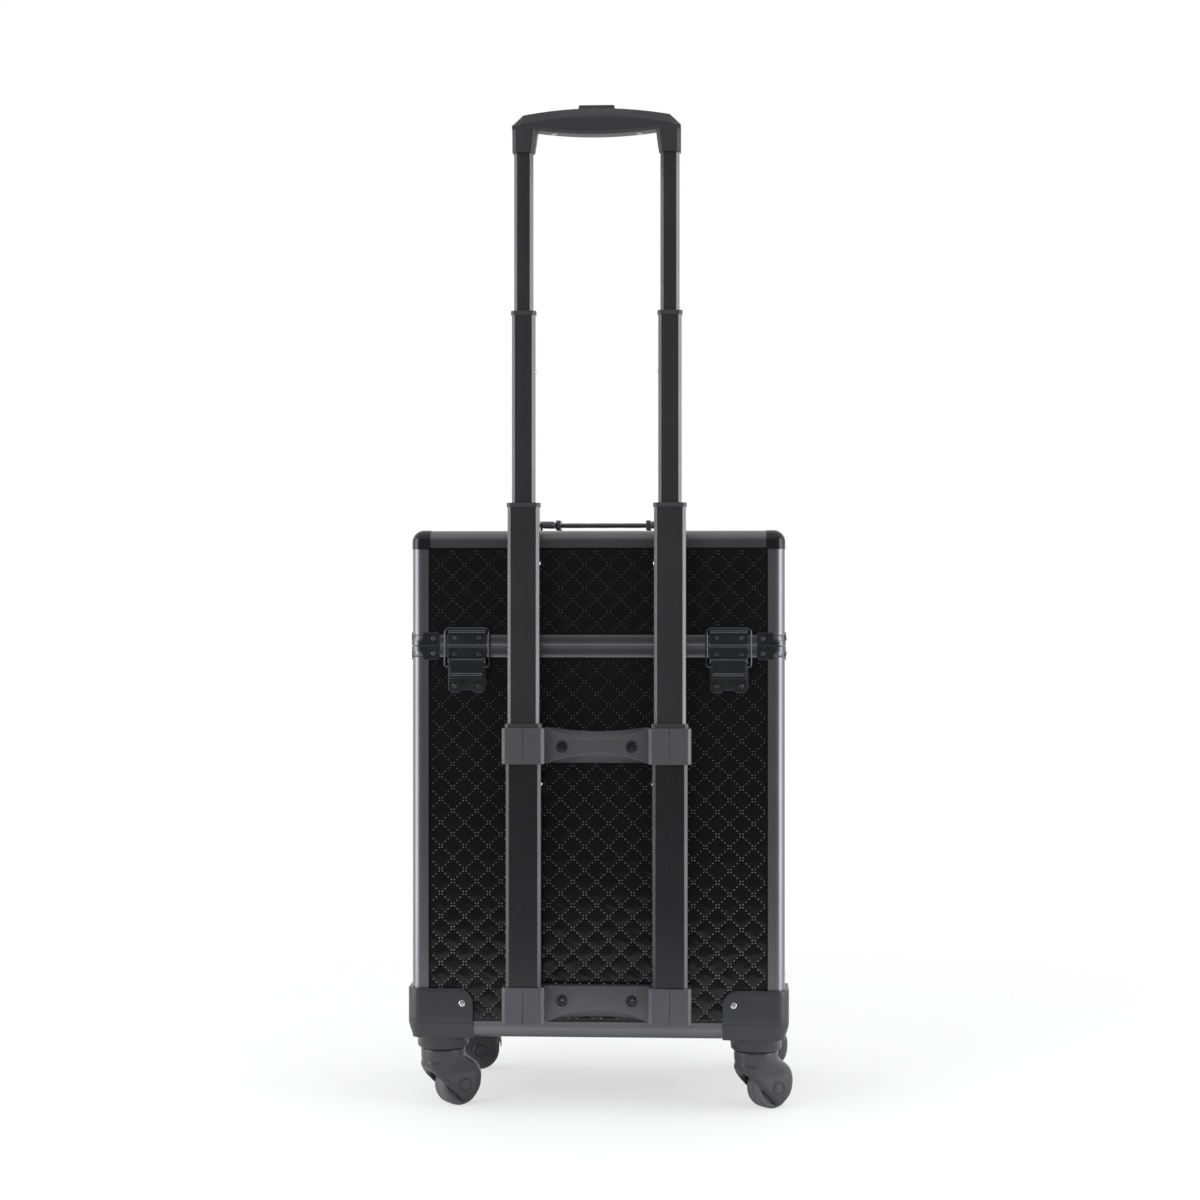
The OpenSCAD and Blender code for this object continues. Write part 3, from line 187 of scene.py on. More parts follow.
def make(name, shell, finish, crease=35):
    """Mesh object from a shell of points in mm and groups of faces, its doubles merged, its faces
    turned outwards, smooth where they meet below the crease angle in degrees."""
    points, groups = shell
    mesh = bpy.data.meshes.new(name)
    faces = [face for group in groups for face in group.tolist()]
    mesh.from_pydata(((points + [0, MIDDLE_Y, 0]) * 0.001).tolist(), [], faces)
    skin = bmesh.new()
    skin.from_mesh(mesh)
    bmesh.ops.remove_doubles(skin, verts=skin.verts, dist=2e-6)
    bmesh.ops.recalc_face_normals(skin, faces=skin.faces)
    skin.to_mesh(mesh)
    skin.free()
    mesh.shade_smooth()
    mesh.set_sharp_from_angle(angle=np.radians(crease))
    mesh.materials.append(finish)
    thing = bpy.data.objects.new(name, mesh)
    scene.collection.objects.link(thing)
    return thing


def joined(shells):
    """Several shells as one: each shell's face numbers move up by the count of points before it."""
    starts = np.cumsum([0] + [len(points) for points, _ in shells[:-1]])
    groups = [group + start for (_, parts), start in zip(shells, starts) for group in parts]
    return np.concatenate([points for points, _ in shells]), groups


def oblong(x0, x1, y0, y1):
    """Corners of a rectangle, counterclockwise."""
    return np.array([[x0, y0], [x1, y0], [x1, y1], [x0, y1]])


def numbered(rows, columns):
    """Numbers of a grid's points, and of those on its border in order."""
    index = np.arange(rows * columns).reshape(rows, columns)
    return index, np.concatenate([index[0], index[1:, -1], index[-1, -2::-1], index[-2:0:-1, 0]])


def quilted_sheet(half, low, high, centre, place):
    """Sheet over a board from -half to half across and low to high up. With s and q counting diamonds
    along the two diagonals, it stands SWELL * (|sin pi s| * |sin pi q|) ** 0.7 high, plus slow waves,
    and sinks to the board at its border. The cells split along the stitch lines."""
    wide, tall = DIAMOND_W / STEPS_PER_DIAMOND, DIAMOND_H / STEPS_PER_DIAMOND
    i = np.arange(np.floor((-half - centre[0]) / wide), np.ceil((half - centre[0]) / wide) + 1)
    j = np.arange(np.floor((low - centre[1]) / tall), np.ceil((high - centre[1]) / tall) + 1)
    a, b = np.meshgrid(np.clip(centre[0] + i * wide, -half, half),
                       np.clip(centre[1] + j * tall, low, high), indexing="ij")
    s = (a - centre[0]) / DIAMOND_W + (b - centre[1]) / DIAMOND_H
    q = (a - centre[0]) / DIAMOND_W - (b - centre[1]) / DIAMOND_H
    pillow = SWELL * np.abs(np.sin(np.pi * s) * np.sin(np.pi * q)) ** 0.7
    waves = np.sin(a / 7.3 + 1.4 * np.sin(b / 9.1)) * np.sin(b / 6.7 + 1.6 * np.sin(a / 10.7))
    waves = 0.1 * (waves + np.sin(a / 2.9 + 2.1 * np.sin(b / 5.3)) * np.sin(b / 3.3 + a / 13.7))
    border = np.minimum(half - np.abs(a), np.minimum(b - low, high - b))
    sink = np.clip(border / SHEET_SLOPE, 0, 1)
    sink = sink * sink * (3 - 2 * sink)
    face = SHEET_T + sink * (pillow + waves * np.clip(pillow / SWELL, 0, 1))
    index, rim = numbered(*a.shape)
    c00, c10 = index[:-1, :-1], index[1:, :-1]
    c01, c11 = index[:-1, 1:], index[1:, 1:]
    rising = (np.mod(np.subtract.outer(i[:-1], j[:-1]), STEPS_PER_DIAMOND) == 0)[..., None]
    one = np.stack([c00, c10, np.where(rising[..., 0], c11, c01)], -1)
    two = np.where(rising, np.stack([c00, c11, c01], -1), np.stack([c10, c11, c01], -1))
    under_a = np.append(a.ravel()[rim], 0)
    under_b = np.append(b.ravel()[rim], (low + high) / 2)
    foot = a.size + np.arange(len(rim))
    strip = np.stack([rim, np.roll(rim, -1), np.roll(foot, -1), foot], -1)
    fan = np.stack([foot, np.roll(foot, -1), np.full(len(foot), a.size + len(rim))], -1)
    points = np.concatenate([place(a.ravel(), b.ravel(), face.ravel()),
                             place(under_a, under_b, np.full(len(under_a), -SUNK))])
    return points, [one.reshape(-1, 3), two.reshape(-1, 3), strip, fan]


def stitches(half, low, high, centre, place):
    """Four lock stitches on each diamond's side: small eight-pointed domes 1.7 mm long that stand
    on the stitch lines, where s or q is a whole number."""
    reach = int(half / DIAMOND_W + (abs(centre[1]) + max(abs(low), abs(high))) / DIAMOND_H) + 2
    across = np.arange(-reach, reach + 1)
    along = (np.arange(-reach * 4, reach * 4) + 0.5) / 4
    line, place_on = np.meshgrid(across, along, indexing="ij")
    s = np.concatenate([line.ravel(), place_on.ravel()])
    q = np.concatenate([place_on.ravel(), line.ravel()])
    slope = np.concatenate([np.full(line.size, -1.0), np.full(line.size, 1.0)])
    a = centre[0] + DIAMOND_W * (s + q) / 2
    b = centre[1] + DIAMOND_H * (s - q) / 2
    inside = (np.abs(a) < half - STITCH_FREE) & (b > low + STITCH_FREE) & (b < high - STITCH_FREE)
    a, b, slope = a[inside, None], b[inside, None], slope[inside, None]
    t = np.array([-0.85, -0.5, -0.5, -0.5, 0.5, 0.5, 0.5, 0.85])
    w = np.array([0, -0.4, 0, 0.4, -0.4, 0, 0.4, 0])
    h = np.array([0, 0.05, 0.45, 0.05, 0.05, 0.45, 0.05, 0]) + SHEET_T
    root = np.sqrt(0.5)
    x = a + (t - slope * w) * root
    y = b + (slope * t + w) * root
    ends = np.array([[0, 2, 1], [0, 3, 2], [0, 1, 3], [7, 4, 5], [7, 5, 6], [7, 6, 4]])
    sides = np.array([[1, 2, 5, 4], [2, 3, 6, 5], [3, 1, 4, 6]])
    start = 8 * np.arange(len(a))[:, None, None]
    return (place(x.ravel(), y.ravel(), np.broadcast_to(h, x.shape).ravel()),
            [(ends + start).reshape(-1, 3), (sides + start).reshape(-1, 4)])


def surface(name, constants):
    """New material with constants set on its Principled shader. Comes back with its node tree and
    its Object coordinates."""
    finish = bpy.data.materials.new(name)
    finish.use_nodes = True
    tree = finish.node_tree
    for key, value in constants.items():
        tree.nodes["Principled BSDF"].inputs[key].default_value = value
    return finish, tree, add(tree, "TexCoord").outputs["Object"]


def noise(tree, spot, size, detail, **more):
    """Noise at the coordinates spot, its grains size in mm."""
    return add(tree, "TexNoise", {"Scale": 1000 / size, "Detail": detail, **more}, {0: spot})


def shade(tree, dark, light, share):
    """Colour between two, each given as sRGB hex or as linear RGBA."""
    dark, light = [linear(tone) if isinstance(tone, str) else tone for tone in (dark, light)]
    return add(tree, "Mix", {"data_type": "RGBA", 6: dark, 7: light}, {0: share}).outputs[2]


def spread(tree, low, high, value):
    """Value of 0 to 1 spread over low to high."""
    return add(tree, "MapRange", {"To Min": low, "To Max": high}, {"Value": value})


def bump(tree, strength, deep, height, **under):
    """Normal bumped by height up to deep in mm."""
    settings = {"Strength": strength, "Distance": deep / 1000}
    return add(tree, "Bump", settings, {"Height": height, **under})


def wire(tree, **sources):
    """Joins sources to the inputs of the Principled shader, Base_Color being Base Color."""
    for key, source in sources.items():
        join(tree, source, tree.nodes["Principled BSDF"].inputs[key.replace("_", " ")])


def dress(finish, *nodes):
    """Gives a material to nodes of the CAD model."""
    for node in nodes:
        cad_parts[node].material_slots[0].material = finish


def patent_vinyl():
    """Calendered PVC with a gloss lacquer: near black, with slow ripples 6 mm apart that break its
    reflections and a fine pore grain 0.8 mm apart."""
    constants = {"Specular IOR Level": 0.3, "Coat Weight": 0.15, "Coat Roughness": 0.12}
    finish, tree, spot = surface("black_patent_vinyl_calendered", constants)
    ripple = noise(tree, spot, 6, 3.0, Roughness=0.6)
    pores = noise(tree, spot, 0.8, 2.0)
    tint = shade(tree, "#09090A", "#101012", noise(tree, spot, 45, 2.0))
    gloss = spread(tree, 0.14, 0.28, ripple)
    wire(tree, Base_Color=tint, Roughness=gloss,
         Normal=bump(tree, 0.12, 0.1, pores, Normal=bump(tree, 0.2, 0.6, ripple)))
    return finish


def polyester_thread():
    """Bonded polyester sewing thread, twisted at 0.4 mm: dark grey, and painted paler towards the
    wheels, as a painted highlight for the light that the floor throws up on it."""
    constants = {"Roughness": 0.55, "Sheen Weight": 0.3}
    finish, tree, spot = surface("grey_bonded_polyester_thread", constants)
    tint = shade(tree, "#1F1F21", "#2E2E31", noise(tree, spot, 0.4, 1.0))
    height = add(tree, "SeparateXYZ", links={0: spot}).outputs["Z"]
    # Painted light: the thread is painted paler below 0.42 m, towards #808083 at 0.12 m, standing in
    # for the floor's light
    painted_floor_light = add(tree, "MapRange", {"From Min": 0.42, "From Max": 0.12}, {"Value": height})
    tint = add(tree, "Mix", {"data_type": "RGBA", 7: linear("#808083")}, {0: painted_floor_light, 6: tint})
    wire(tree, Base_Color=tint.outputs[2])
    return finish


vinyl = patent_vinyl()
thread = polyester_thread()
face_x, face_y, face_top = HALF_W - BOARD_FACE, HALF_D - BOARD_FACE, CASE_HIGH - BOARD_FACE
half_x, half_y = HALF_W - PROFILE_W, HALF_D - PROFILE_W
sides = {
    "trolley_side": (half_x, lambda a, b, h: np.stack([a, -face_y - h, b], -1)),
    "front_side": (half_x, lambda a, b, h: np.stack([-a, face_y + h, b], -1)),
    "left_end": (half_y, lambda a, b, h: np.stack([-face_x - h, -a, b], -1)),
    "right_end": (half_y, lambda a, b, h: np.stack([face_x + h, a, b], -1)),
}
spans = {"case": (CASE_LOW + PROFILE_W, JOINT_LOW - RAIL_H),
         "lid": (JOINT_HIGH + RAIL_H, CASE_HIGH - PROFILE_W)}
covers = [(body, side, half, *span, (QUILT_X, QUILT_Z), place)
          for side, (half, place) in sides.items() for body, span in spans.items()]
covers.append(("lid", "top", half_x, -half_y, half_y, (QUILT_X, 0),
               lambda a, b, h: np.stack([a, b, face_top + h], -1)))
for body, side, *cover in covers:
    sheet = make(f"{body}_quilt_{side}", quilted_sheet(*cover), vinyl, 60)
    seams = make(f"{body}_stitches_{side}", stitches(*cover), thread, 60)
    for piece in (sheet, seams):
        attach(piece, body)
dress(vinyl, "base_panel", "front_panel", "back_panel", "end_panels", "lid_top_panel",
      "lid_front_panel", "lid_back_panel", "lid_end_panels")

# Edge profiles and rails. Drawn aluminium, anodised black: an L with a rounded outer edge along
# every edge of the box, and a bead-fronted rail round each side of the joint, mitred at the corners.

CORNER_R = 11
BEND_STEPS = 9
TONGUE = (8.2, 9.7, 6)
LEG_T = 7.7
BEAD = 1.1
WEB_T = 2.2


def drawn_aluminium(name, dark, light, along, rough):
    """Drawn and black-anodised aluminium: satin, with die lines 0.5 mm apart that run the length of
    the profile, and a slow change of tone where the dye took differently."""
    finish, tree, spot = surface(name, {"Metallic": 0.85})
    stretch = [0.02 if axis == along else 1.0 for axis in range(3)]
    drawn = add(tree, "Mapping", {"Scale": stretch}, {"Vector": spot})
    lines = noise(tree, drawn, 0.5, 2.0)
    tint = shade(tree, dark, light, noise(tree, spot, 60, 2.0))
    gloss = spread(tree, rough - 0.06, rough + 0.08, lines)
    wire(tree, Base_Color=tint, Roughness=gloss, Normal=bump(tree, 0.1, 0.08, lines))
    return finish


def quads(index):
    """Faces between the neighbours in a grid of point numbers."""
    corners = [index[:-1, :-1], index[1:, :-1], index[1:, 1:], index[:-1, 1:]]
    return np.stack(corners, -1).reshape(-1, 4)


def hoop(grid):
    """Shell over a grid of points that closes both ways, like a tyre."""
    index = np.arange(grid.size // 3).reshape(grid.shape[:2])
    return grid.reshape(-1, 3), [quads(np.pad(index, (0, 1), "wrap"))]


def ring(section):
    """Section of points (inward distance o, height z) carried round the case's edge: at every
    point of the path the section's point lies at path - o * outward normal."""
    angle = np.radians(np.linspace(0, 90, BEND_STEPS) + np.array([[0], [90], [180], [270]])).ravel()
    normal = np.stack([np.cos(angle), np.sin(angle)], -1)
    signs = np.repeat([[1, 1], [-1, 1], [-1, -1], [1, -1]], BEND_STEPS, 0)
    path = signs * [HALF_W - CORNER_R, HALF_D - CORNER_R] + CORNER_R * normal
    flat = path[:, None] - section[:, :1] * normal[:, None]
    return hoop(np.concatenate([flat, np.broadcast_to(section[:, 1:], (*flat.shape[:2], 1))], -1))


post_metal = drawn_aluminium("anodised_aluminium_upright", "#727275", "#808083", 2, 0.28)
cross_metal = drawn_aluminium("anodised_aluminium_crosswise", "#666668", "#747476", 0, 0.28)
dress(post_metal, "body_posts", "lid_posts")
dress(cross_metal, "base_profiles", "lid_profiles")

swell = np.linspace(-1, 1, 13)
bead = np.stack([BEAD * swell ** 2 + 0.05, swell], -1)
low_bead = bead * [1, RAIL_H / 2] + [0, JOINT_LOW - RAIL_H / 2]
high_bead = bead * [1, RAIL_H / 2] + [0, JOINT_HIGH + RAIL_H / 2]
web = JOINT_LOW - WEB_T
near, far, tall = TONGUE
tongue = [[near, JOINT_LOW], [near, JOINT_LOW + tall], [far, JOINT_LOW + tall], [far, web]]
low_section = np.concatenate([low_bead, tongue, [[LEG_T, web], [LEG_T, JOINT_LOW - RAIL_H]]])
high_section = np.concatenate([high_bead, [[LEG_T, JOINT_HIGH + RAIL_H], [LEG_T, JOINT_HIGH]]])
for body, node, section in (("case", "body_rail", low_section), ("lid", "lid_rail", high_section)):
    piece = make(f"{body}_rail_bead", ring(section), cross_metal, 30)
    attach(piece, body)
    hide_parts(node)

# Corner caps and rail brackets. A glossy black ball corner closes the three lid profiles, and thin
# black-plated steel plates, riveted on, tie the rails round each corner of the joint.

PLATE_T = 1.0
BRACKET_REACH, BRACKET_TALL = 27, 13
BRACKET_STEP = (15, 2, 5)
EDGE_STEPS = np.array([0, 0.08, 0.3, 0.6, 1])


def plated_steel(name, colour, rough, metallic):
    """Pressed steel, electroplated: smooth, with a faint orange-peel 1.2 mm across and small
    differences in gloss."""
    finish, tree, spot = surface(name, {"Metallic": metallic})
    peel, smear = noise(tree, spot, 1.2, 2.0), noise(tree, spot, 14, 3.0)
    paler = (*[c * 1.5 for c in linear(colour)[:3]], 1.0)
    wire(tree, Base_Color=shade(tree, colour, paler, smear), Normal=bump(tree, 0.08, 0.1, peel),
         Roughness=spread(tree, rough - 0.07, rough + 0.1, smear))
    return finish


def closed_sheet(front, back):
    """Shell between two grids of points, front[i, j] and back[i, j], with a strip round the border."""
    index, rim = numbered(*front.shape[:2])
    after, count = np.roll(rim, -1), index.size
    strip = np.stack([rim, after, after + count, rim + count], -1)
    points = np.concatenate([front.reshape(-1, 3), back.reshape(-1, 3)])
    return points, [quads(index), quads(index)[:, ::-1] + count, strip]


def corner_shield(reach, low, high, wall, rim, end_r, step=None, lean=None):
    """Plate wrapped round a case corner at the origin, +x and +y into the case. Its two borders run
    along both legs of the path; it stands wall off the case, less rim - sqrt(rim^2 - (rim - e)^2)
    within rim of an edge, e being the distance to it. end_r rounds its far upper corners,
    step = (distance, slant, height) cuts it down to height past that distance from its ends, and
    lean = (heights, insets) moves its front inwards with the height."""
    round_corner = np.pi / 2 * CORNER_R
    length = 2 * (reach - CORNER_R) + round_corner
    ends = np.concatenate([rim * EDGE_STEPS, np.linspace(rim, max(end_r, 3 * rim), 9)[1:]])
    if step:
        inner = step[0] + np.array([-0.3, 0, step[1] / 2, step[1], step[1] + 0.3])
        ends = np.concatenate([ends[ends < inner[0]], inner])
    half = np.concatenate([ends, np.linspace(ends[-1], reach - CORNER_R, 5)[1:]])
    bend = reach - CORNER_R + np.linspace(0, round_corner, 13)[1:-1]
    u = np.concatenate([half, bend, length - half[::-1]])
    turn = np.clip((u - (reach - CORNER_R)) / CORNER_R, 0, np.pi / 2)
    normal = np.stack([-np.sin(turn), -np.cos(turn)], -1)
    path = CORNER_R + CORNER_R * normal
    path[:, 0] += np.clip(reach - CORNER_R - u, 0, None)
    path[:, 1] += np.clip(u - (length - reach + CORNER_R), 0, None)
    near = np.minimum(u, length - u)
    drop = end_r - np.sqrt(end_r ** 2 - np.clip(end_r - near, 0, None) ** 2)
    if step:
        slant = np.clip((near - step[0]) / step[1], 0, 1)
        drop = drop + slant * (abs(high - low) - step[2])
    up = np.sign(high - low)
    tall = abs(high - low) - drop
    base = np.broadcast_to(rim * EDGE_STEPS, (len(u), len(EDGE_STEPS)))
    body = (tall[:, None] - 2 * rim) * np.linspace(0, 1, 8)[None, 1:-1] + rim
    z = np.concatenate([base, body, tall[:, None] - rim * EDGE_STEPS[::-1]], 1)
    e = np.minimum(np.minimum(z, tall[:, None] - z), near[:, None])
    off = wall - rim + np.sqrt(np.clip(rim ** 2 - np.clip(rim - e, 0, None) ** 2, 0, None))
    z = low + up * z
    if lean:
        off = off - np.interp(z, *lean)
    front = path[:, None] + off[..., None] * normal[:, None]
    back = np.broadcast_to((path - SUNK * normal)[:, None], front.shape)
    return closed_sheet(*[np.concatenate([face, z[..., None]], -1) for face in (front, back)])


def at_corners(shell):
    """Four copies of a shell round the case: mirrored in x and y, then moved out to each corner."""
    points, groups = shell
    signs = [(-1, -1), (1, -1), (-1, 1), (1, 1)]
    return joined([((points - [HALF_W, HALF_D, 0]) * [-sx, -sy, 1], groups) for sx, sy in signs])


def turned(profile, place, axis, steps=32):
    """Profile of points (radius, height) turned round an axis, 0 to 2 for x to z, through place."""
    angle = np.linspace(0, 2 * np.pi, steps, endpoint=False)
    points = np.empty((len(profile), steps, 3))
    points[..., (axis + 1) % 3] = profile[:, :1] * np.cos(angle)
    points[..., (axis + 2) % 3] = profile[:, :1] * np.sin(angle)
    points[..., axis] = profile[:, 1:]
    return loft(points + place)


def loft(rings):
    """Shell through closed rings, rings[k, j]: quads join each ring to the next, a face closes each
    end."""
    count, around = rings.shape[:2]
    index = np.arange(count * around).reshape(count, around)
    after = np.roll(index, -1, 1)
    walls = np.stack([index[:-1], after[:-1], after[1:], index[1:]], -1).reshape(-1, 4)
    return rings.reshape(-1, 3), [walls, index[:1, ::-1], index[-1:]]


cap_gloss = plated_steel("black_lacquered_zinc_casting", "#161618", 0.16, 0.2)
black_steel = plated_steel("black_nickel_plated_steel", "#5A5B5F", 0.26, 1.0)
bright_steel = plated_steel("bright_nickel_plated_steel", "#B9BABD", 0.22, 1.0)
dress(cap_gloss, "lid_corner_caps")
for body, node, low, high in (("case", "body_rail_brackets", JOINT_LOW, JOINT_LOW - BRACKET_TALL),
                              ("lid", "lid_rail_brackets", JOINT_HIGH, JOINT_HIGH + BRACKET_TALL)):
    shell = corner_shield(BRACKET_REACH, low, high, PLATE_T, 0.35, 1.5, step=BRACKET_STEP)
    piece = make(f"{body}_corner_brackets", at_corners(shell), black_steel)
    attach(piece, body)
    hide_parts(node)

# Rivets. Tubular steel rivets with a dimpled head, plated black, hold the corner brackets, the
# strikes and the base plates of the latches. They are pressed in from outside and spread within.

RIVET = np.array([[0.05, 0.25], [0.7, 0.28], [1.1, 0.8], [1.5, 0.9], [1.9, 0.7], [2.25, 0.25],
                  [2.3, -0.3]])
LATCH_X, LATCH_RIVET_X, BRACKET_RIVET_IN = 126, 11.9, 21.5
latch_face = HALF_D + PLATE_T


def moved(shell, by):
    """Shell moved by (x, y, z)."""
    return shell[0] + by, shell[1]


def on_faces(shell, inset_x, out, z):
    """Eight copies of a shell that faces -y, two to each side: inset_x in from the case's edge, out
    from its face. Each next side is a quarter turn on, (x, y) -> (-y, x)."""
    shells = []
    for quarter in range(4):
        half, face = (HALF_D, HALF_W) if quarter % 2 else (HALF_W, HALF_D)
        for s in (-1, 1):
            points, groups = moved(shell, [s * (half - inset_x), -face - out, z])
            for _ in range(quarter):
                points = points[:, [1, 0, 2]] * [-1, 1, 1]
            shells.append((points, groups))
    return shells


def at_latch(shell, which):
    """Shell of latch 0 to 3: two on the trolley side, then two on the front, LATCH_X off the middle."""
    points, groups = moved(shell, [LATCH_X if which % 2 else -LATCH_X, 0, 0])
    return points * ([1, 1, 1] if which < 2 else [-1, -1, 1]), groups


def headed(profile, steps=20):
    """Fastener's head facing -y."""
    return turned(profile * [1, -1], (0, 0, 0), 1, steps)


rivet = headed(RIVET)
rows = (("case", "body_rivets", (JOINT_LOW - 8, JOINT_LOW - 38), JOINT_LOW - 7),
        ("lid", "lid_rivets", (JOINT_HIGH + 7.9,), JOINT_HIGH + 7))
for body, node, latch_rows, bracket_z in rows:
    heads = on_faces(rivet, BRACKET_RIVET_IN, PLATE_T, bracket_z)
    heads += [at_latch(moved(rivet, [s * LATCH_RIVET_X, -latch_face, z]), which)
              for which in range(4) for s in (-1, 1) for z in latch_rows]
    piece = make(f"{body}_rivet_heads", joined(heads), black_steel, 50)
    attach(piece, body)
    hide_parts(node)

# Corner housings. Moulded in charcoal ABS with a satin, spark-eroded face. Each wraps a lower
# corner, rounds inwards below a crease, and narrows under the case to the boss of its caster.

HOUSING_HIGH, HOUSING_LEDGE = 119.4, 87
HOUSING_REACH, HOUSING_WALL, HOUSING_R = 60, 4, 14
CASTER_IN = 27.5
BOSS_R, BOSS_LOW, BOSS_HIGH, BOSS_EDGE = 24.7, 58.4, 62, 3.5
CUP_POINTS = 112
CUP_CORNERS = [13, 5, 5, 5]


def rounded(corners, size, steps=6):
    """Polygon whose corners p are cut back by size to a and b on both sides and bridged by the
    parabola (1 - t)^2 a + 2 t (1 - t) p + t^2 b. Several polygons may be stacked in front."""
    corners = np.asarray(corners, float)
    size = np.broadcast_to(size, corners.shape[:-1])[..., None]
    before, after = np.roll(corners, 1, -2) - corners, np.roll(corners, -1, -2) - corners
    a = corners + size * before / np.linalg.norm(before, axis=-1, keepdims=True)
    b = corners + size * after / np.linalg.norm(after, axis=-1, keepdims=True)
    t = np.linspace(0, 1, steps)[:, None]
    a, b, p = a[..., None, :], b[..., None, :], corners[..., None, :]
    curve = (1 - t) ** 2 * a + 2 * t * (1 - t) * p + t * t * b
    return curve.reshape(*corners.shape[:-2], -1, 2)


def even(outline, count):
    """Closed outline with its points spread evenly along its length."""
    closed = np.vstack([outline, outline[:1]])
    far = np.concatenate([[0], np.cumsum(np.linalg.norm(np.diff(closed, axis=0), axis=1))])
    at = np.linspace(0, far[-1], count, endpoint=False)
    return np.stack([np.interp(at, far, closed[:, k]) for k in (0, 1)], -1)


def moulded_plastic(name, dark, light, grain, rough):
    """Injection-moulded plastic from a spark-eroded mould: even satin gloss, a fine grain of the
    given size in mm, and slow flow marks 30 mm across."""
    finish, tree, spot = surface(name, {"Specular IOR Level": 0.45})
    flow, spark = noise(tree, spot, 30, 2.0), noise(tree, spot, grain, 3.0)
    gloss = spread(tree, rough - 0.08, rough + 0.08, spark)
    wire(tree, Base_Color=shade(tree, dark, light, flow), Roughness=gloss,
         Normal=bump(tree, 0.25, 0.1, spark))
    return finish


charcoal = moulded_plastic("charcoal_abs_satin_moulded", "#2B2B2D", "#343436", 0.5, 0.34)
# The foot's outer sides lean in over the case's rounded edge, and its inner sides sweep in below it
level = np.array([71.6, 70.6, 69.4, 68, 66.4, 64.8, 63.2, BOSS_HIGH, 60.8, 59.8, 59, 58.5, BOSS_LOW])
outer = np.interp(level, [66.4, 68, 69.4, 70.6, 71.6], [6.8, 6.3, 5.6, 4.8, 4])
inner = np.interp(level, [62, 64, 67, 70, 71.5, 73], [7.8, 7.4, 6, 3.5, 1.5, 0.3])
share = np.interp(level, [62, 64, 67, 70, 71.6], [1, 0.94, 0.75, 0.36, 0.1])
fall = np.clip((BOSS_HIGH - level) / (BOSS_HIGH - BOSS_LOW), 0, 1)
radius = BOSS_R - BOSS_EDGE * (1 - np.sqrt(1 - fall ** 2))
rings = []
for z, outside, inside, part, r in zip(level, outer, inner, share, radius):
    low, high = outside - HOUSING_WALL, HOUSING_REACH - inside
    plan = rounded(oblong(low, high, low, high), CUP_CORNERS, 8)
    plan = even(plan - CASTER_IN, CUP_POINTS)
    circle = r * plan / np.linalg.norm(plan, axis=1, keepdims=True)
    rings.append(np.column_stack([CASTER_IN + plan + part * (circle - plan), np.full(CUP_POINTS, z)]))
cup = loft(np.array(rings))
lean = ([71.4, 73, 75, 77, 80, 84, 87], [3.8, 3.7, 3.3, 2.6, 1.5, 0.4, 0])
upper = corner_shield(HOUSING_REACH, HOUSING_LEDGE, HOUSING_HIGH, HOUSING_WALL, 0.9, HOUSING_R)
lower = corner_shield(HOUSING_REACH, 71.5, HOUSING_LEDGE + 0.4, HOUSING_WALL, 0.3, 0.8, lean=lean)
piece = make("caster_housings", at_corners(joined([cup, upper, lower])), charcoal, 40)
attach(piece, "case")
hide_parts("wheel_housings")

# Screws. Bright cross-headed pan screws hold the housings; the same screws in black hold the two
# tube brackets, deep in round recesses.

SCREW_HEAD = np.array([[0.05, 1.5], [1.6, 1.45], [2.6, 1.15], [3.2, 0.6], [3.4, 0.1], [3.4, -0.3]])
HOUSING_SCREW_IN, HOUSING_SCREW_Z = 49.5, 105.4
BRACKET_SCREW_X, BRACKET_SCREW_OUT = 33.55, 126.5
BRACKET_SCREW_Z = (110.6, 353.6)


def shaped(shell, others, operation="DIFFERENCE", voxel=0, smooth=0):
    """Shell in mm after Boolean modifiers with the others, then a remesh to cells of voxel mm with
    rounds of smoothing. Comes back as triangles."""
    finish = bpy.data.materials[0]
    thing = make("work", shell, finish)
    tools = [make("tool", other, finish) for other in others]
    for tool in tools:
        step = thing.modifiers.new("cut", "BOOLEAN")
        step.object, step.operation, step.solver = tool, operation, "EXACT"
    if voxel:
        step = thing.modifiers.new("remesh", "REMESH")
        step.mode, step.voxel_size = "VOXEL", voxel / 1000
        step = thing.modifiers.new("smooth", "SMOOTH")
        step.factor, step.iterations = 0.5, smooth
    graph = bpy.context.evaluated_depsgraph_get()
    worked = thing.evaluated_get(graph)
    mesh = worked.to_mesh()
    mesh.calc_loop_triangles()
    points = np.array([vertex.co for vertex in mesh.vertices]) * 1000 - [0, MIDDLE_Y, 0]
    faces = np.array([face.vertices for face in mesh.loop_triangles])
    worked.to_mesh_clear()
    for used in (thing, *tools):
        data = used.data
        bpy.data.objects.remove(used)
        bpy.data.meshes.remove(data)
    return points, [faces]


def block(low, high):
    """Plain block between two corners, for cutting."""
    (x0, y0, z0), (x1, y1, z1) = low, high
    return loft(np.stack([np.column_stack([oblong(x0, x1, y0, y1), np.full(4, z)]) for z in (z0, z1)]))


cross = [block((-2.1, -2, -0.45), (2.1, -0.7, 0.45)), block((-0.45, -2, -2.1), (0.45, -0.7, 2.1))]
head = shaped(headed(SCREW_HEAD, 40), cross)
bright = on_faces(head, HOUSING_SCREW_IN, HOUSING_WALL - 0.1, HOUSING_SCREW_Z)
piece = make("housing_screws", joined(bright), bright_steel, 30)
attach(piece, "case")
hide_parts("body_screws")
dark = [moved(head, [s * BRACKET_SCREW_X, -BRACKET_SCREW_OUT, z])
        for s in (-1, 1) for z in BRACKET_SCREW_Z]
piece = make("bracket_screws", joined(dark), black_steel, 30)
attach(piece, "case")

# Casters. The fork is one glass-filled nylon moulding: a round neck that flows into a comma-shaped
# hood, open in front, with flat round covers over the axle. The wheel is grey polyurethane.

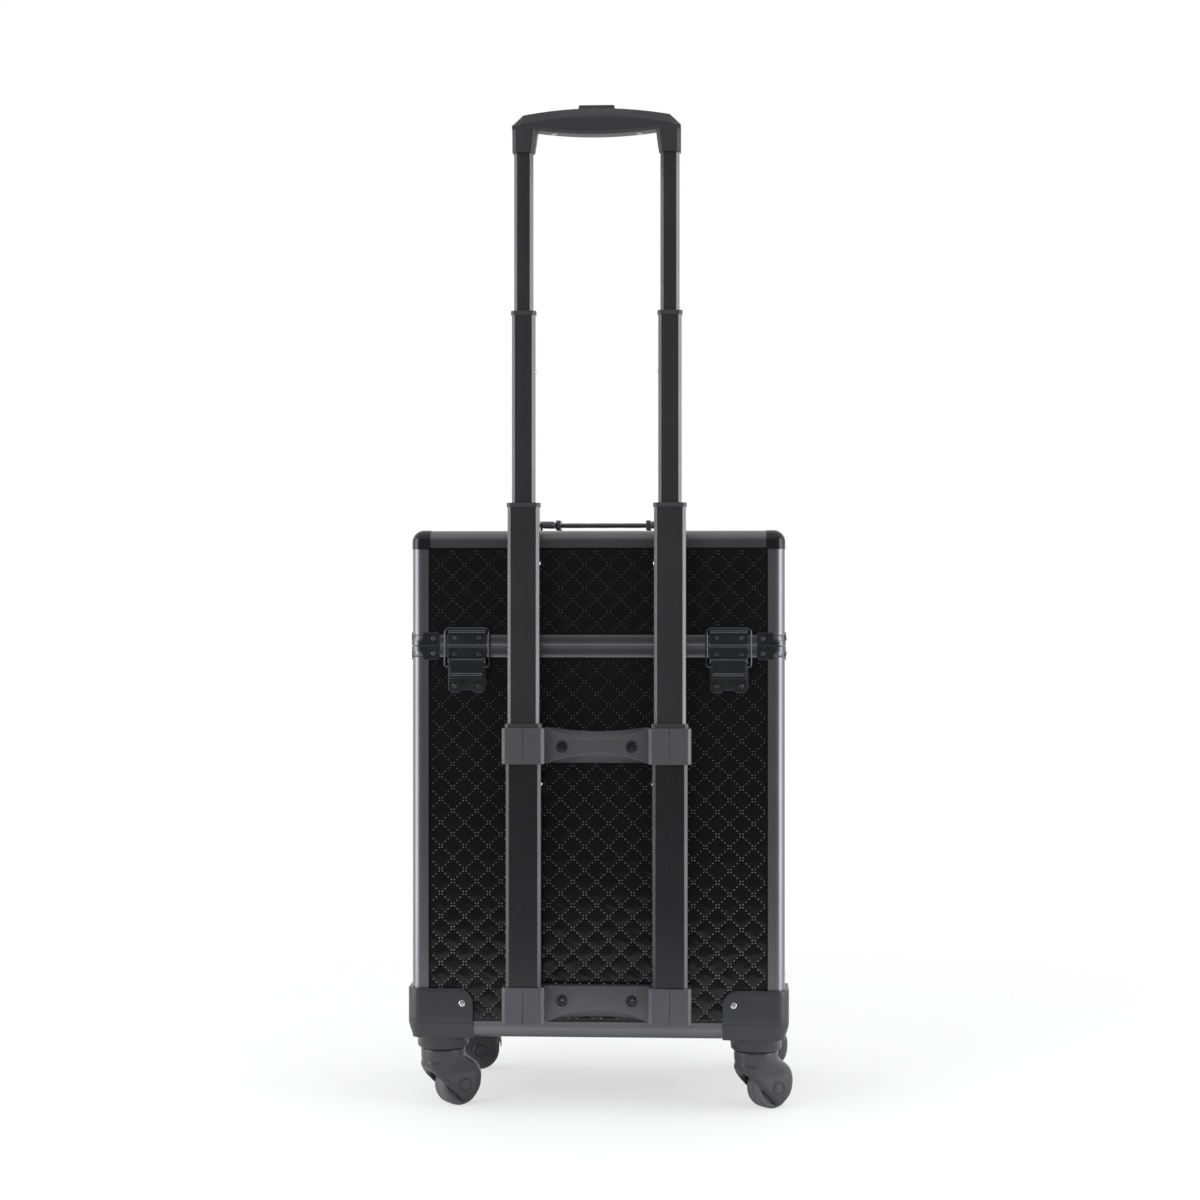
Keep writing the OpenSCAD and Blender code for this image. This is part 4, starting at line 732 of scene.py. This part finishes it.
CASTER_X, CASTER_Y = 152.5, 92.5
TRAIL, WHEEL_R = 16, 21
NECK_TOP, NECK_R, FORK_HALF = 58.1, 21.5, 15.8
ROOM_R, ROOM_HALF = 22.8, 10.8
FRONT_LINE = [3, 9, 16, 23, 31, 36, 41, 45], [16, 11, 3, -5, -13, -17, -20.6, -NECK_R]
BACK_LINE = ([3, 4.7, 6.5, 9, 11.5, 14.1, 17, 20, 23.5, 27, 30, 33, 37.3, 41, 43.7, 47, 49.5, 51],
             [19, 23.8, 28, 31.2, 33.8, 35.8, 37.5, 38.7, 39.4, 39.7, 39.7, 39.2, 37.5, 34.4, 31.1,
              26.8, 22.9, NECK_R])
CASTERS = ((-1, -1, 38), (1, -1, 38), (-1, 1, 9.5), (1, 1, 38))


def oval(angle, power):
    """Points of the oval |x|^power + |y|^power = 1."""
    return [np.sign(wave) * np.abs(wave) ** (2 / power) for wave in (np.cos(angle), np.sin(angle))]


def fork_shell():
    """Hood and neck as level rings: at each height an oval |x / a|^n + |y / b|^n = 1 from the front
    line to the back line, both drawn. The front half is squarer, and chamfered at 45 degrees
    towards the mouth, so that |y| grows by no more than the distance from the front line."""
    z = np.concatenate([np.linspace(3, 57, 73), [57.4, 57.8, 58, NECK_TOP]])
    front = np.interp(z, *FRONT_LINE)
    back = np.interp(z, *BACK_LINE)
    half = np.interp(z, [3, 5, 9, 14, 34, 40, 46, 50],
                     [12, 13.8, 15, FORK_HALF, FORK_HALF, 17.4, 20.4, NECK_R])
    rear_power = np.interp(z, [3, 12, 30, 40, 46], [2.6, 3.2, 3.2, 2.6, 2])[:, None]
    front_power = np.interp(z, [3, 30, 38, 46], [8, 8, 4, 2])[:, None]
    edge = np.interp(z, [34, 42], [ROOM_HALF, NECK_R])[:, None]
    soften = np.interp(z, [57, 57.8, NECK_TOP], [0, 0.4, 1])
    angle = np.linspace(0, 2 * np.pi, 96, endpoint=False)
    power = np.where(np.cos(angle) < 0, front_power, rear_power)
    across, along = oval(angle, power)
    x = (front + back)[:, None] / 2 + ((back - front) / 2 - soften)[:, None] * across
    y = (half - soften)[:, None] * along
    y = np.sign(y) * np.minimum(np.abs(y), edge + x - front[:, None])
    return loft(np.stack([x, y, np.broadcast_to(z[:, None], x.shape)], -1))


def at_caster(shell, number):
    """Shell turned the way that wheel number 0 to 3 trails and moved under its corner."""
    sx, sy, degrees = CASTERS[number]
    c, s = np.cos(np.radians(degrees)), np.sin(np.radians(degrees))
    points = shell[0] @ np.array([[c, s, 0], [-s, c, 0], [0, 0, 1]])
    return points + [sx * CASTER_X, sy * CASTER_Y, 0], shell[1]


nylon = moulded_plastic("black_nylon_moulded", "#343436", "#3D3D3F", 0.6, 0.32)
urethane = moulded_plastic("grey_polyurethane_cast", "#4C4C4E", "#58585A", 1.5, 0.5)
axle_at = np.array([TRAIL, 0, WHEEL_R])
room = turned(np.array([[ROOM_R, -ROOM_HALF], [ROOM_R, ROOM_HALF]]), axle_at, 1, 64)
arch = rounded(oblong(-ROOM_HALF, ROOM_HALF, -5, 34), [1, 1, 9, 9], 8)
mouth = loft(np.stack([np.column_stack([np.full(len(arch), x), arch * grow])
                       for x, grow in ((-40, (1.3, 1.35)), (-12, (1.0, 1.0)), (9, (0.98, 1.0)))]))
fork = shaped(fork_shell(), [room, mouth], voxel=0.75, smooth=5)
cover = np.array([[0.05, 16.3], [5.2, 16.3], [5.5, 15.9], [5.8, 16.7], [6.6, 16.7], [7.1, 16.2],
                  [7.1, 14]])
covers = [turned(cover * [1, s], axle_at, 1, 40) for s in (1, -1)]
tread = np.array([[0.05, -9.3], [5.5, -9.3], [6, -8.9], [6.5, -8], [15.4, -8], [16.1, -8.4],
                  [16.6, -9.4], [17.4, -9.9], [18.8, -9.8], [20.2, -8.7], [20.85, -7], [21, -4],
                  [21, -0.4], [20.85, -0.2]])
tread = np.vstack([tread, tread[::-1] * [1, -1]])
wheel = turned(tread, axle_at, 1, 96)
for number in range(4):
    piece = make(f"caster_{number + 1}_fork", at_caster(joined([fork, *covers]), number), nylon, 40)
    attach(piece, f"caster_{number + 1}")
    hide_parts(f"caster_fork_{number + 1}")
    piece = make(f"caster_{number + 1}_wheel", at_caster(wheel, number), urethane, 40)
    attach(piece, f"wheel_{number + 1}")
    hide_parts(f"wheel_{number + 1}")
dress(bright_steel, "swivel_pins")

# Trolley tubes. Three pairs of tubes slide in a fixed pair: flattened aluminium with a crease down
# the front, dyed black. Nylon rims and bushes guide them, and bright sprung buttons mark the stops.

TUBE_X, TUBE_Y = 70, -134
TUBE_W, TUBE_D = 33.5, 20
STOPS = (("case", 317.9, 16.75), ("second_stage", 528.9, 15.15), ("third_stage", 712.4, 11.15))


def tube_outline(width, depth, chamfer=3, crease=0.8, groove=0):
    """Outline of the flattened tube: chamfered edges, and a front that comes to a crease, with a
    fine groove along it where groove is its depth."""
    w, d, c, k = width / 2, depth / 2, chamfer, crease
    return np.array([[c - w, k - d], [-0.35, 0.02 - d], [0, groove - d], [0.35, 0.02 - d],
                     [w - c, k - d], [w, k + c - d], [w, d - c], [w - c, d], [c - w, d], [-w, d - c],
                     [-w, k + c - d]])


tube_metal = drawn_aluminium("anodised_aluminium_tube", "#414143", "#4D4D4F", 2, 0.24)
# The sliding tubes are painted paler than the outer pair, a painted reflection of the white backdrop
inner_metal = drawn_aluminium("anodised_aluminium_inner_tube", "#565658", "#626264", 2, 0.24)
dress(tube_metal, "outer_tubes")
dress(inner_metal, "second_tubes", "third_tubes", "top_tubes")
dress(nylon, "outer_rims", "second_bushes", "third_bushes", "top_bushes")
button = np.array([[0.05, 1.5], [1, 1.4], [1.8, 1], [2.3, 0.3], [2.9, 0.15], [2.9, -1]])
for body, z, half_w in STOPS:
    for s, side in ((-1, "left"), (1, "right")):
        base = s * (TUBE_X - half_w)
        shell = turned(button * [1, -s], (base, TUBE_Y, z), 0, 24)
        piece = make(f"{body}_stop_button_{side}", shell, bright_steel, 40)
        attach(piece, body)
        if body == "second_stage":
            # These are pressed in by the outer tube as the handle goes down
            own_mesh(piece)

# Tube brackets. Each is one ABS moulding screwed to the back: a sleeve round either outer tube and
# a bridge between them whose edges are scooped to a slope.

BRACKET_H = 34.5
BRACKETS = {"lower_bracket": (89.9, 0, 12, 0, 4), "upper_bracket": (337.4, 12, 9.6, 4, 0)}
BRIDGE_HALF, WALL_Y, BRIDGE_MID_Y, BRIDGE_Y = 49.75, -118.5, -122.5, -131.5
SCOOP_FRONT, SCOOP_BACK = 47.75, 45.75
SLEEVE_W, SLEEVE_D = 40.5, 27


def inset(outline, distance):
    """Counterclockwise polygon moved inwards: each corner goes along 2 (m + n) / |m + n|^2, where m
    and n are the inward normals of its two sides."""
    side = outline - np.roll(outline, 1, 0)
    normal = np.stack([-side[:, 1], side[:, 0]], -1) / np.linalg.norm(side, axis=1, keepdims=True)
    both = normal + np.roll(normal, -1, 0)
    return outline + distance * 2 * both / (both ** 2).sum(1, keepdims=True)


def levels(outlines, heights):
    """Grid of rings: each outline at its height."""
    return np.stack([np.column_stack([line, np.full(len(line), z)])
                     for line, z in zip(outlines, heights)])


def crosswise(x, section):
    """Shell through sections of points (y, z), section[k] standing at x[k]."""
    place = np.broadcast_to(x[:, None, None], (*section.shape[:2], 1))
    return loft(np.concatenate([place, section], -1))


def slab(outline, low, high, edge):
    """Plate over an outline between two heights. Near both ends the outline moves inwards by
    edge (1 - sin f) while the height changes by edge (1 - cos f), so its edges are rounded."""
    f = np.radians([0, 30, 60, 90])
    inward, step = edge * (1 - np.sin(f)), edge * (1 - np.cos(f))
    lines = [inset(outline, d) for d in (*inward, *inward[::-1])]
    return loft(levels(lines, (*(low + step), *(high - step[::-1]))))


def arc(x, half, rise):
    """Fall of an arc below its middle at x, reaching rise at half and staying there."""
    if rise == 0:
        return np.zeros_like(x)
    radius = (half * half + rise * rise) / (2 * rise)
    return radius - np.sqrt(radius ** 2 - np.clip(np.abs(x), 0, half) ** 2)


def scoop(x, half, depth):
    """Scoop in an edge, depth deep in its middle and running out at half."""
    return depth - arc(x, half, depth)


def bridge(low, top_front, low_front, top_back, low_back):
    """Six-cornered section across x: upright behind, sloped from the back scoops to the deeper ones
    of the front face."""
    x = np.linspace(-BRIDGE_HALF - 1, BRIDGE_HALF + 1, 85)
    high = low + BRACKET_H
    bottom, top = low + scoop(x, SCOOP_BACK, low_back), high - scoop(x, SCOOP_BACK, top_back)
    z = np.stack([bottom, bottom, low + scoop(x, SCOOP_FRONT, low_front),
                  high - scoop(x, SCOOP_FRONT, top_front), top, top], 1)
    y = np.array([WALL_Y, BRIDGE_MID_Y, BRIDGE_Y, BRIDGE_Y, BRIDGE_MID_Y, WALL_Y])
    section = np.stack([np.broadcast_to(y, z.shape), z], -1)
    return crosswise(x, rounded(section, [0.4, 0.9, 0.9, 0.9, 0.9, 0.4], 5))


grey_abs = moulded_plastic("grey_abs_satin_moulded", "#424245", "#4C4C50", 0.5, 0.24)
sleeve = tube_outline(SLEEVE_W, SLEEVE_D, groove=0.5)
sleeve[6:10, 1] = [WALL_Y - TUBE_Y - 0.6, WALL_Y - TUBE_Y, WALL_Y - TUBE_Y, WALL_Y - TUBE_Y - 0.6]
sleeve[7:9, 0] = [SLEEVE_W / 2 - 0.6, 0.6 - SLEEVE_W / 2]
bore = tube_outline(TUBE_W + 0.1, TUBE_D + 0.1)
recess = np.array([[6.1, -BRACKET_SCREW_OUT], [6.1, -BRACKET_SCREW_OUT - 9]])
for (node, (low, *scoops)), z in zip(BRACKETS.items(), BRACKET_SCREW_Z):
    holes = [turned(recess, (s * BRACKET_SCREW_X, 0, z), 1, 40) for s in (-1, 1)]
    parts = [shaped(bridge(low, *scoops), holes)]
    lines = [*[inset(sleeve, d) for d in (0.5, 0.15, 0, 0, 0.15, 0.5)], bore, bore]
    heights = low + np.array([0, 0.15, 0.5, BRACKET_H - 0.5, BRACKET_H - 0.15, BRACKET_H, BRACKET_H, 0])
    parts += [hoop(levels(lines, heights) + [s * TUBE_X, TUBE_Y, 0]) for s in (-1, 1)]
    piece = make(f"trolley_{node}", joined(parts), grey_abs, 22)
    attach(piece, "case")
    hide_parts(node)

# Trolley grip. Two moulded halves in soft-touch black: a faceted arched bar with a sloped top, a
# bowed underside with two screws, and creased legs that taper down to the top tubes.

GRIP_Z, GRIP_UNDER, GRIP_PEAK = 921.4, 941.9, 962.9
GRIP_HALF, GRIP_SHOULDER, GRIP_SHOULDER_Z, GRIP_INNER = 80.5, 69.9, 956.7, 56.7
GRIP_BOW, FACET_DROP = 4, 9
# Half depths of its sole, its front and its crown
GRIP_DEPTHS = (9.5, 12, 6.9)
# Widths and depths of the legs at heights over their lower ends
GRIP_LEG = np.array([[20.4, 19.2, 0], [21, 20, 0.4], [21.6, 20.4, 4], [23.8, 23.6, 20.5],
                     [23.8, 23.6, 24.5]])
KEY_HALF = np.array([17.3, 5.5])
KEY_LOW, KEY_TOP, KEY_GAP, POCKET_LOW = 956.2, 966.4, 0.3, 953
GRIP_SCREW_X, GRIP_SCREW_Z = 41, 940


def grip_bar():
    """Eight-cornered section across x, with the top on an arc and slanted at the shoulders, the
    bottom bowed between the legs, and a facet line 9 mm under the top."""
    x = np.concatenate([np.linspace(GRIP_SHOULDER, GRIP_HALF - 0.8, 6), [GRIP_HALF - 0.2, GRIP_HALF]])
    x = np.concatenate([-x[::-1], np.linspace(-GRIP_SHOULDER, GRIP_SHOULDER, 61)[1:-1], x])
    reach = np.abs(x)
    slant = np.clip(reach - GRIP_SHOULDER, 0, None) * 0.925
    top = GRIP_PEAK - arc(x, GRIP_SHOULDER, GRIP_PEAK - GRIP_SHOULDER_Z) - slant
    low = GRIP_UNDER - GRIP_BOW + arc(x, GRIP_INNER, GRIP_BOW)
    facet = np.maximum(top - FACET_DROP + slant * 0.55, low + 4.2)
    end = np.interp(reach, [GRIP_HALF - 1, GRIP_HALF], [0, 0.7])
    sole, front, crown = np.array(GRIP_DEPTHS)[:, None] - end
    y = np.stack([-sole, -front, -front, -crown, crown, front, front, sole], 1)
    z = np.stack([low + end, low + 2.4, facet, top - end, top - end, facet, low + 2.4, low + end], 1)
    return crosswise(x, rounded(np.stack([y + TUBE_Y, z], -1), 0.5, 3))


soft_touch = moulded_plastic("black_soft_touch_abs", "#2A2A2C", "#323234", 0.8, 0.46)
legs = []
for s in (-1, 1):
    lines = [tube_outline(w, d, 3.4, 0.9) + [s * (GRIP_HALF - w / 2 - 0.05), TUBE_Y]
             for w, d, _ in GRIP_LEG]
    legs.append(loft(levels(lines, GRIP_Z + GRIP_LEG[:, 2])))
low, high = [0, TUBE_Y] - KEY_HALF - KEY_GAP, [0, TUBE_Y] + KEY_HALF + KEY_GAP
pocket = block((*low, POCKET_LOW), (*high, KEY_TOP + 4))
body = shaped(shaped(grip_bar(), legs, "UNION"), [pocket])
piece = make("trolley_grip", body, soft_touch, 14)
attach(piece, "top_stage")
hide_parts("grip_cover", "grip_base")
screws = [turned(SCREW_HEAD * [0.8, -0.7], (x, TUBE_Y, GRIP_SCREW_Z), 2, 24)
          for x in (-GRIP_SCREW_X, GRIP_SCREW_X)]
piece = make("grip_screws", joined(screws), bright_steel, 40)
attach(piece, "top_stage")
key = rounded(oblong(-1, 1, -1, 1) * KEY_HALF, 2.2, 6)
piece = make("release_key", slab(key + [0, TUBE_Y], KEY_LOW, KEY_TOP, 1.3), nylon, 40)
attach(piece, "release_button")
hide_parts("release_button")
dress(bright_steel, "button_spring")

# Draw latches. Pressed from 1 mm black-plated steel: a strike rolled over at its top, a base plate
# with two ears and a notched tail, and a lever folded to a finger ridge that pulls a wire loop.

LATCH_W = 36.5
STRIKE_LOW, ROLL_Z, ROLL_OUT, ROLL_R = 450.9, 463.6, 122.1, 1.9
PLATE_LOW, PLATE_HIGH, PIVOT_Z, PIVOT_OUT = 404.4, 448.4, 435.6, 124
LEVER_W, LEVER_OUT, LEVER_LEN, LIP = 32.9, 125, 18.5, 3.2
EAR_R, EAR_HALF, BARREL_R = 3.2, 0.75, 1.62


def sheet_cut(outline):
    """Plate cut to an outline in (x, z), lying on the case's face, with rounded edges."""
    points, groups = slab(outline, HALF_D + 0.02, HALF_D + 0.02 + PLATE_T, 0.3)
    return points[:, [0, 2, 1]] * [1, -1, 1], groups


def barred(section, half, edge):
    """Section of points (y, z) drawn along x from -half to half, its ends rounded."""
    points, groups = slab(section, -half, half, edge)
    return points[:, [2, 0, 1]], groups


def folded(path, thick):
    """Section of a folded sheet: the path of its middle in (y, z) moved by half its thickness to one
    side and back along the other."""
    way = np.gradient(path, axis=0)
    side = np.stack([-way[:, 1], way[:, 0]], -1) / np.linalg.norm(way, axis=1, keepdims=True)
    return np.vstack([path - side * thick / 2, (path + side * thick / 2)[::-1]])


def at_latches(shells):
    """The same shells at all four latches."""
    return joined([at_latch(shell, which) for which in range(4) for shell in shells])


def both_sides(shell, x):
    """Shell moved to -x and to x."""
    return [moved(shell, [s * x, 0, 0]) for s in (-1, 1)]


w = LATCH_W / 2
strike = rounded(oblong(-w, w, STRIKE_LOW, ROLL_Z), [1.2, 1.2, 0.4, 0.4], 5)
f = np.radians(np.linspace(-100, 215, 26))
curl = np.stack([-ROLL_OUT + (ROLL_R - 0.45) * np.cos(f), ROLL_Z + (ROLL_R - 0.45) * np.sin(f)], -1)
roll = folded(curl, 0.9)
shells = [sheet_cut(strike), barred(roll, w - 0.05, 0.2)]
piece = make("latch_strike_plates", at_latches(shells), black_steel, 40)
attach(piece, "lid")
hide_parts("latch_strikes")

tall = PLATE_HIGH - PLATE_LOW
tail = np.array([[-w, 3.2], [3.2 - w, 0], [-7, 0], [-5, 2.6], [5, 2.6], [7, 0], [w - 3.2, 0], [w, 3.2],
                 [w, tall], [-w, tall]])
tail = rounded(tail + [0, PLATE_LOW], [1.6, 1.6, 0.8, 0.8, 0.8, 0.8, 1.6, 1.6, 1, 1], 5)
shells = [sheet_cut(tail)]
f = np.radians(np.linspace(-90, 90, 13))
ear = np.stack([-PIVOT_OUT - EAR_R * np.cos(f), PIVOT_Z + EAR_R * np.sin(f)], -1)
ear = np.vstack([ear, [[-HALF_D - 0.4, PIVOT_Z + EAR_R], [-HALF_D - 0.4, PIVOT_Z - EAR_R]]])
shells += both_sides(barred(ear, EAR_HALF, 0.25), w - EAR_HALF)
piece = make("latch_base_plates", at_latches(shells), black_steel, 40)
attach(piece, "case")
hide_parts("latch_plates")

middle_y, foot = -LEVER_OUT - 0.6, PIVOT_Z - LEVER_LEN
f = np.radians(np.linspace(250, 0, 20))
barrel = np.stack([-PIVOT_OUT - BARREL_R * np.cos(f), PIVOT_Z + BARREL_R * np.sin(f)], -1)
bend = np.radians(np.linspace(0, 90, 7))
lip = np.stack([middle_y - 1.3 * (1 - np.cos(bend)), foot + 1.9 - 1.3 * np.sin(bend)], -1)
path = np.vstack([barrel, [[middle_y, PIVOT_Z - 5], [middle_y, PIVOT_Z - 12]], lip,
                  [[-LEVER_OUT - LIP, foot + 0.6]]])
shells = [barred(folded(path, 1.1), LEVER_W / 2, 0.3)]
ridge = np.array([[0, -1.7], [-0.7, -1.1], [-1, 0], [-0.7, 1.1], [0, 1.7], [0.3, 0]])
shells.append(barred(ridge + [-LEVER_OUT - 1.15, foot + 5], LEVER_W / 2 - 1.5, 0.4))
cheek = np.array([[-LEVER_OUT, -7.7], [-122, -7.7], [-122, -4.2], [-LEVER_OUT, -1.2]]) + [0, PIVOT_Z]
cheek = rounded(cheek, 0.6, 4)
shells += both_sides(barred(cheek, EAR_HALF, 0.2), LEVER_W / 2 - EAR_HALF)
for number in range(4):
    piece = make(f"latch_{number + 1}_lever_plate", at_latch(joined(shells), number), black_steel, 40)
    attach(piece, f"latch_lever_{number + 1}")
    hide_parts(f"latch_lever_{number + 1}")
    dress(black_steel, f"latch_loop_{number + 1}")
dress(bright_steel, "latch_pins")

# Carry handle. A flat padded ABS bar between two moulded collars, with arms that fold on steel
# pins in mounts screwed to the lid.

CARRY_Y, CARRY_Z = -24, 569.3
BAR_HALF = 43.5
COLLAR_X, COLLAR_HALF, COLLAR_T = (43, 48), 12, 5
ARM_X, ARM_END, ARM_T = (48, 60), 7, 3
# Radii of the pin's barrel and their distances from the middle
ARM_BARREL = np.array([[3.2, 49], [3.6, 49.4], [3.6, 59.6], [3.2, 60]])


def carry_bar():
    """Flat oval section across x, |y / 10|^3 + |z / 2.5|^3 = 1, up to 6 % thinner in its waists."""
    x = np.linspace(-BAR_HALF, BAR_HALF, 59)
    wave = 1 - 0.03 * (1 - np.cos(x * np.pi * 3 / BAR_HALF))[:, None]
    across, up = oval(np.linspace(0, 2 * np.pi, 40, endpoint=False), 3)
    y, z = 10 * wave * across, CARRY_Z + 2.5 * wave * up
    return loft(np.stack([np.broadcast_to(x[:, None], y.shape), y, z], -1))


def pillow_box(across, along, thick, corner):
    """Box from across[0] to across[1] and along[0] to along[1], thick above and below CARRY_Z, with
    rounded upright corners and rounded level edges."""
    plan = rounded(oblong(*sorted(across), *along), corner, 5)
    return slab(plan, CARRY_Z - thick, CARRY_Z + thick, 1)


parts = [carry_bar()]
for s in (-1, 1):
    parts.append(pillow_box(s * np.array(COLLAR_X), (-COLLAR_HALF, COLLAR_HALF), COLLAR_T, 1.2))
    parts.append(pillow_box(s * np.array(ARM_X), (CARRY_Y + 1, ARM_END), ARM_T, 2))
    parts.append(turned(ARM_BARREL * [1, s], (0, CARRY_Y, CARRY_Z), 0, 32))
piece = make("carry_handle_moulding", joined(parts), grey_abs, 40)
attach(piece, "carry_handle")
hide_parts("carry_handle")
dress(black_steel, "handle_mounts")
dress(bright_steel, "handle_pins")

# Linings. Grey needle-punched felt glued to the inside of both boards, with loose fibres about
# 3 mm long that make its surface cloudy and dull.

felt, tree, spot = surface("grey_needle_punched_felt", {"Roughness": 0.95, "Sheen Weight": 0.4})
fibres = noise(tree, spot, 1.2, 4.0, Distortion=1.5)
both = add(tree, "Math", {"operation": "MULTIPLY"}, {0: fibres, 1: noise(tree, spot, 25, 3.0)})
wire(tree, Base_Color=shade(tree, "#3C3C42", "#76767E", both), Normal=bump(tree, 0.6, 0.4, fibres))
dress(felt, "body_lining", "lid_lining")
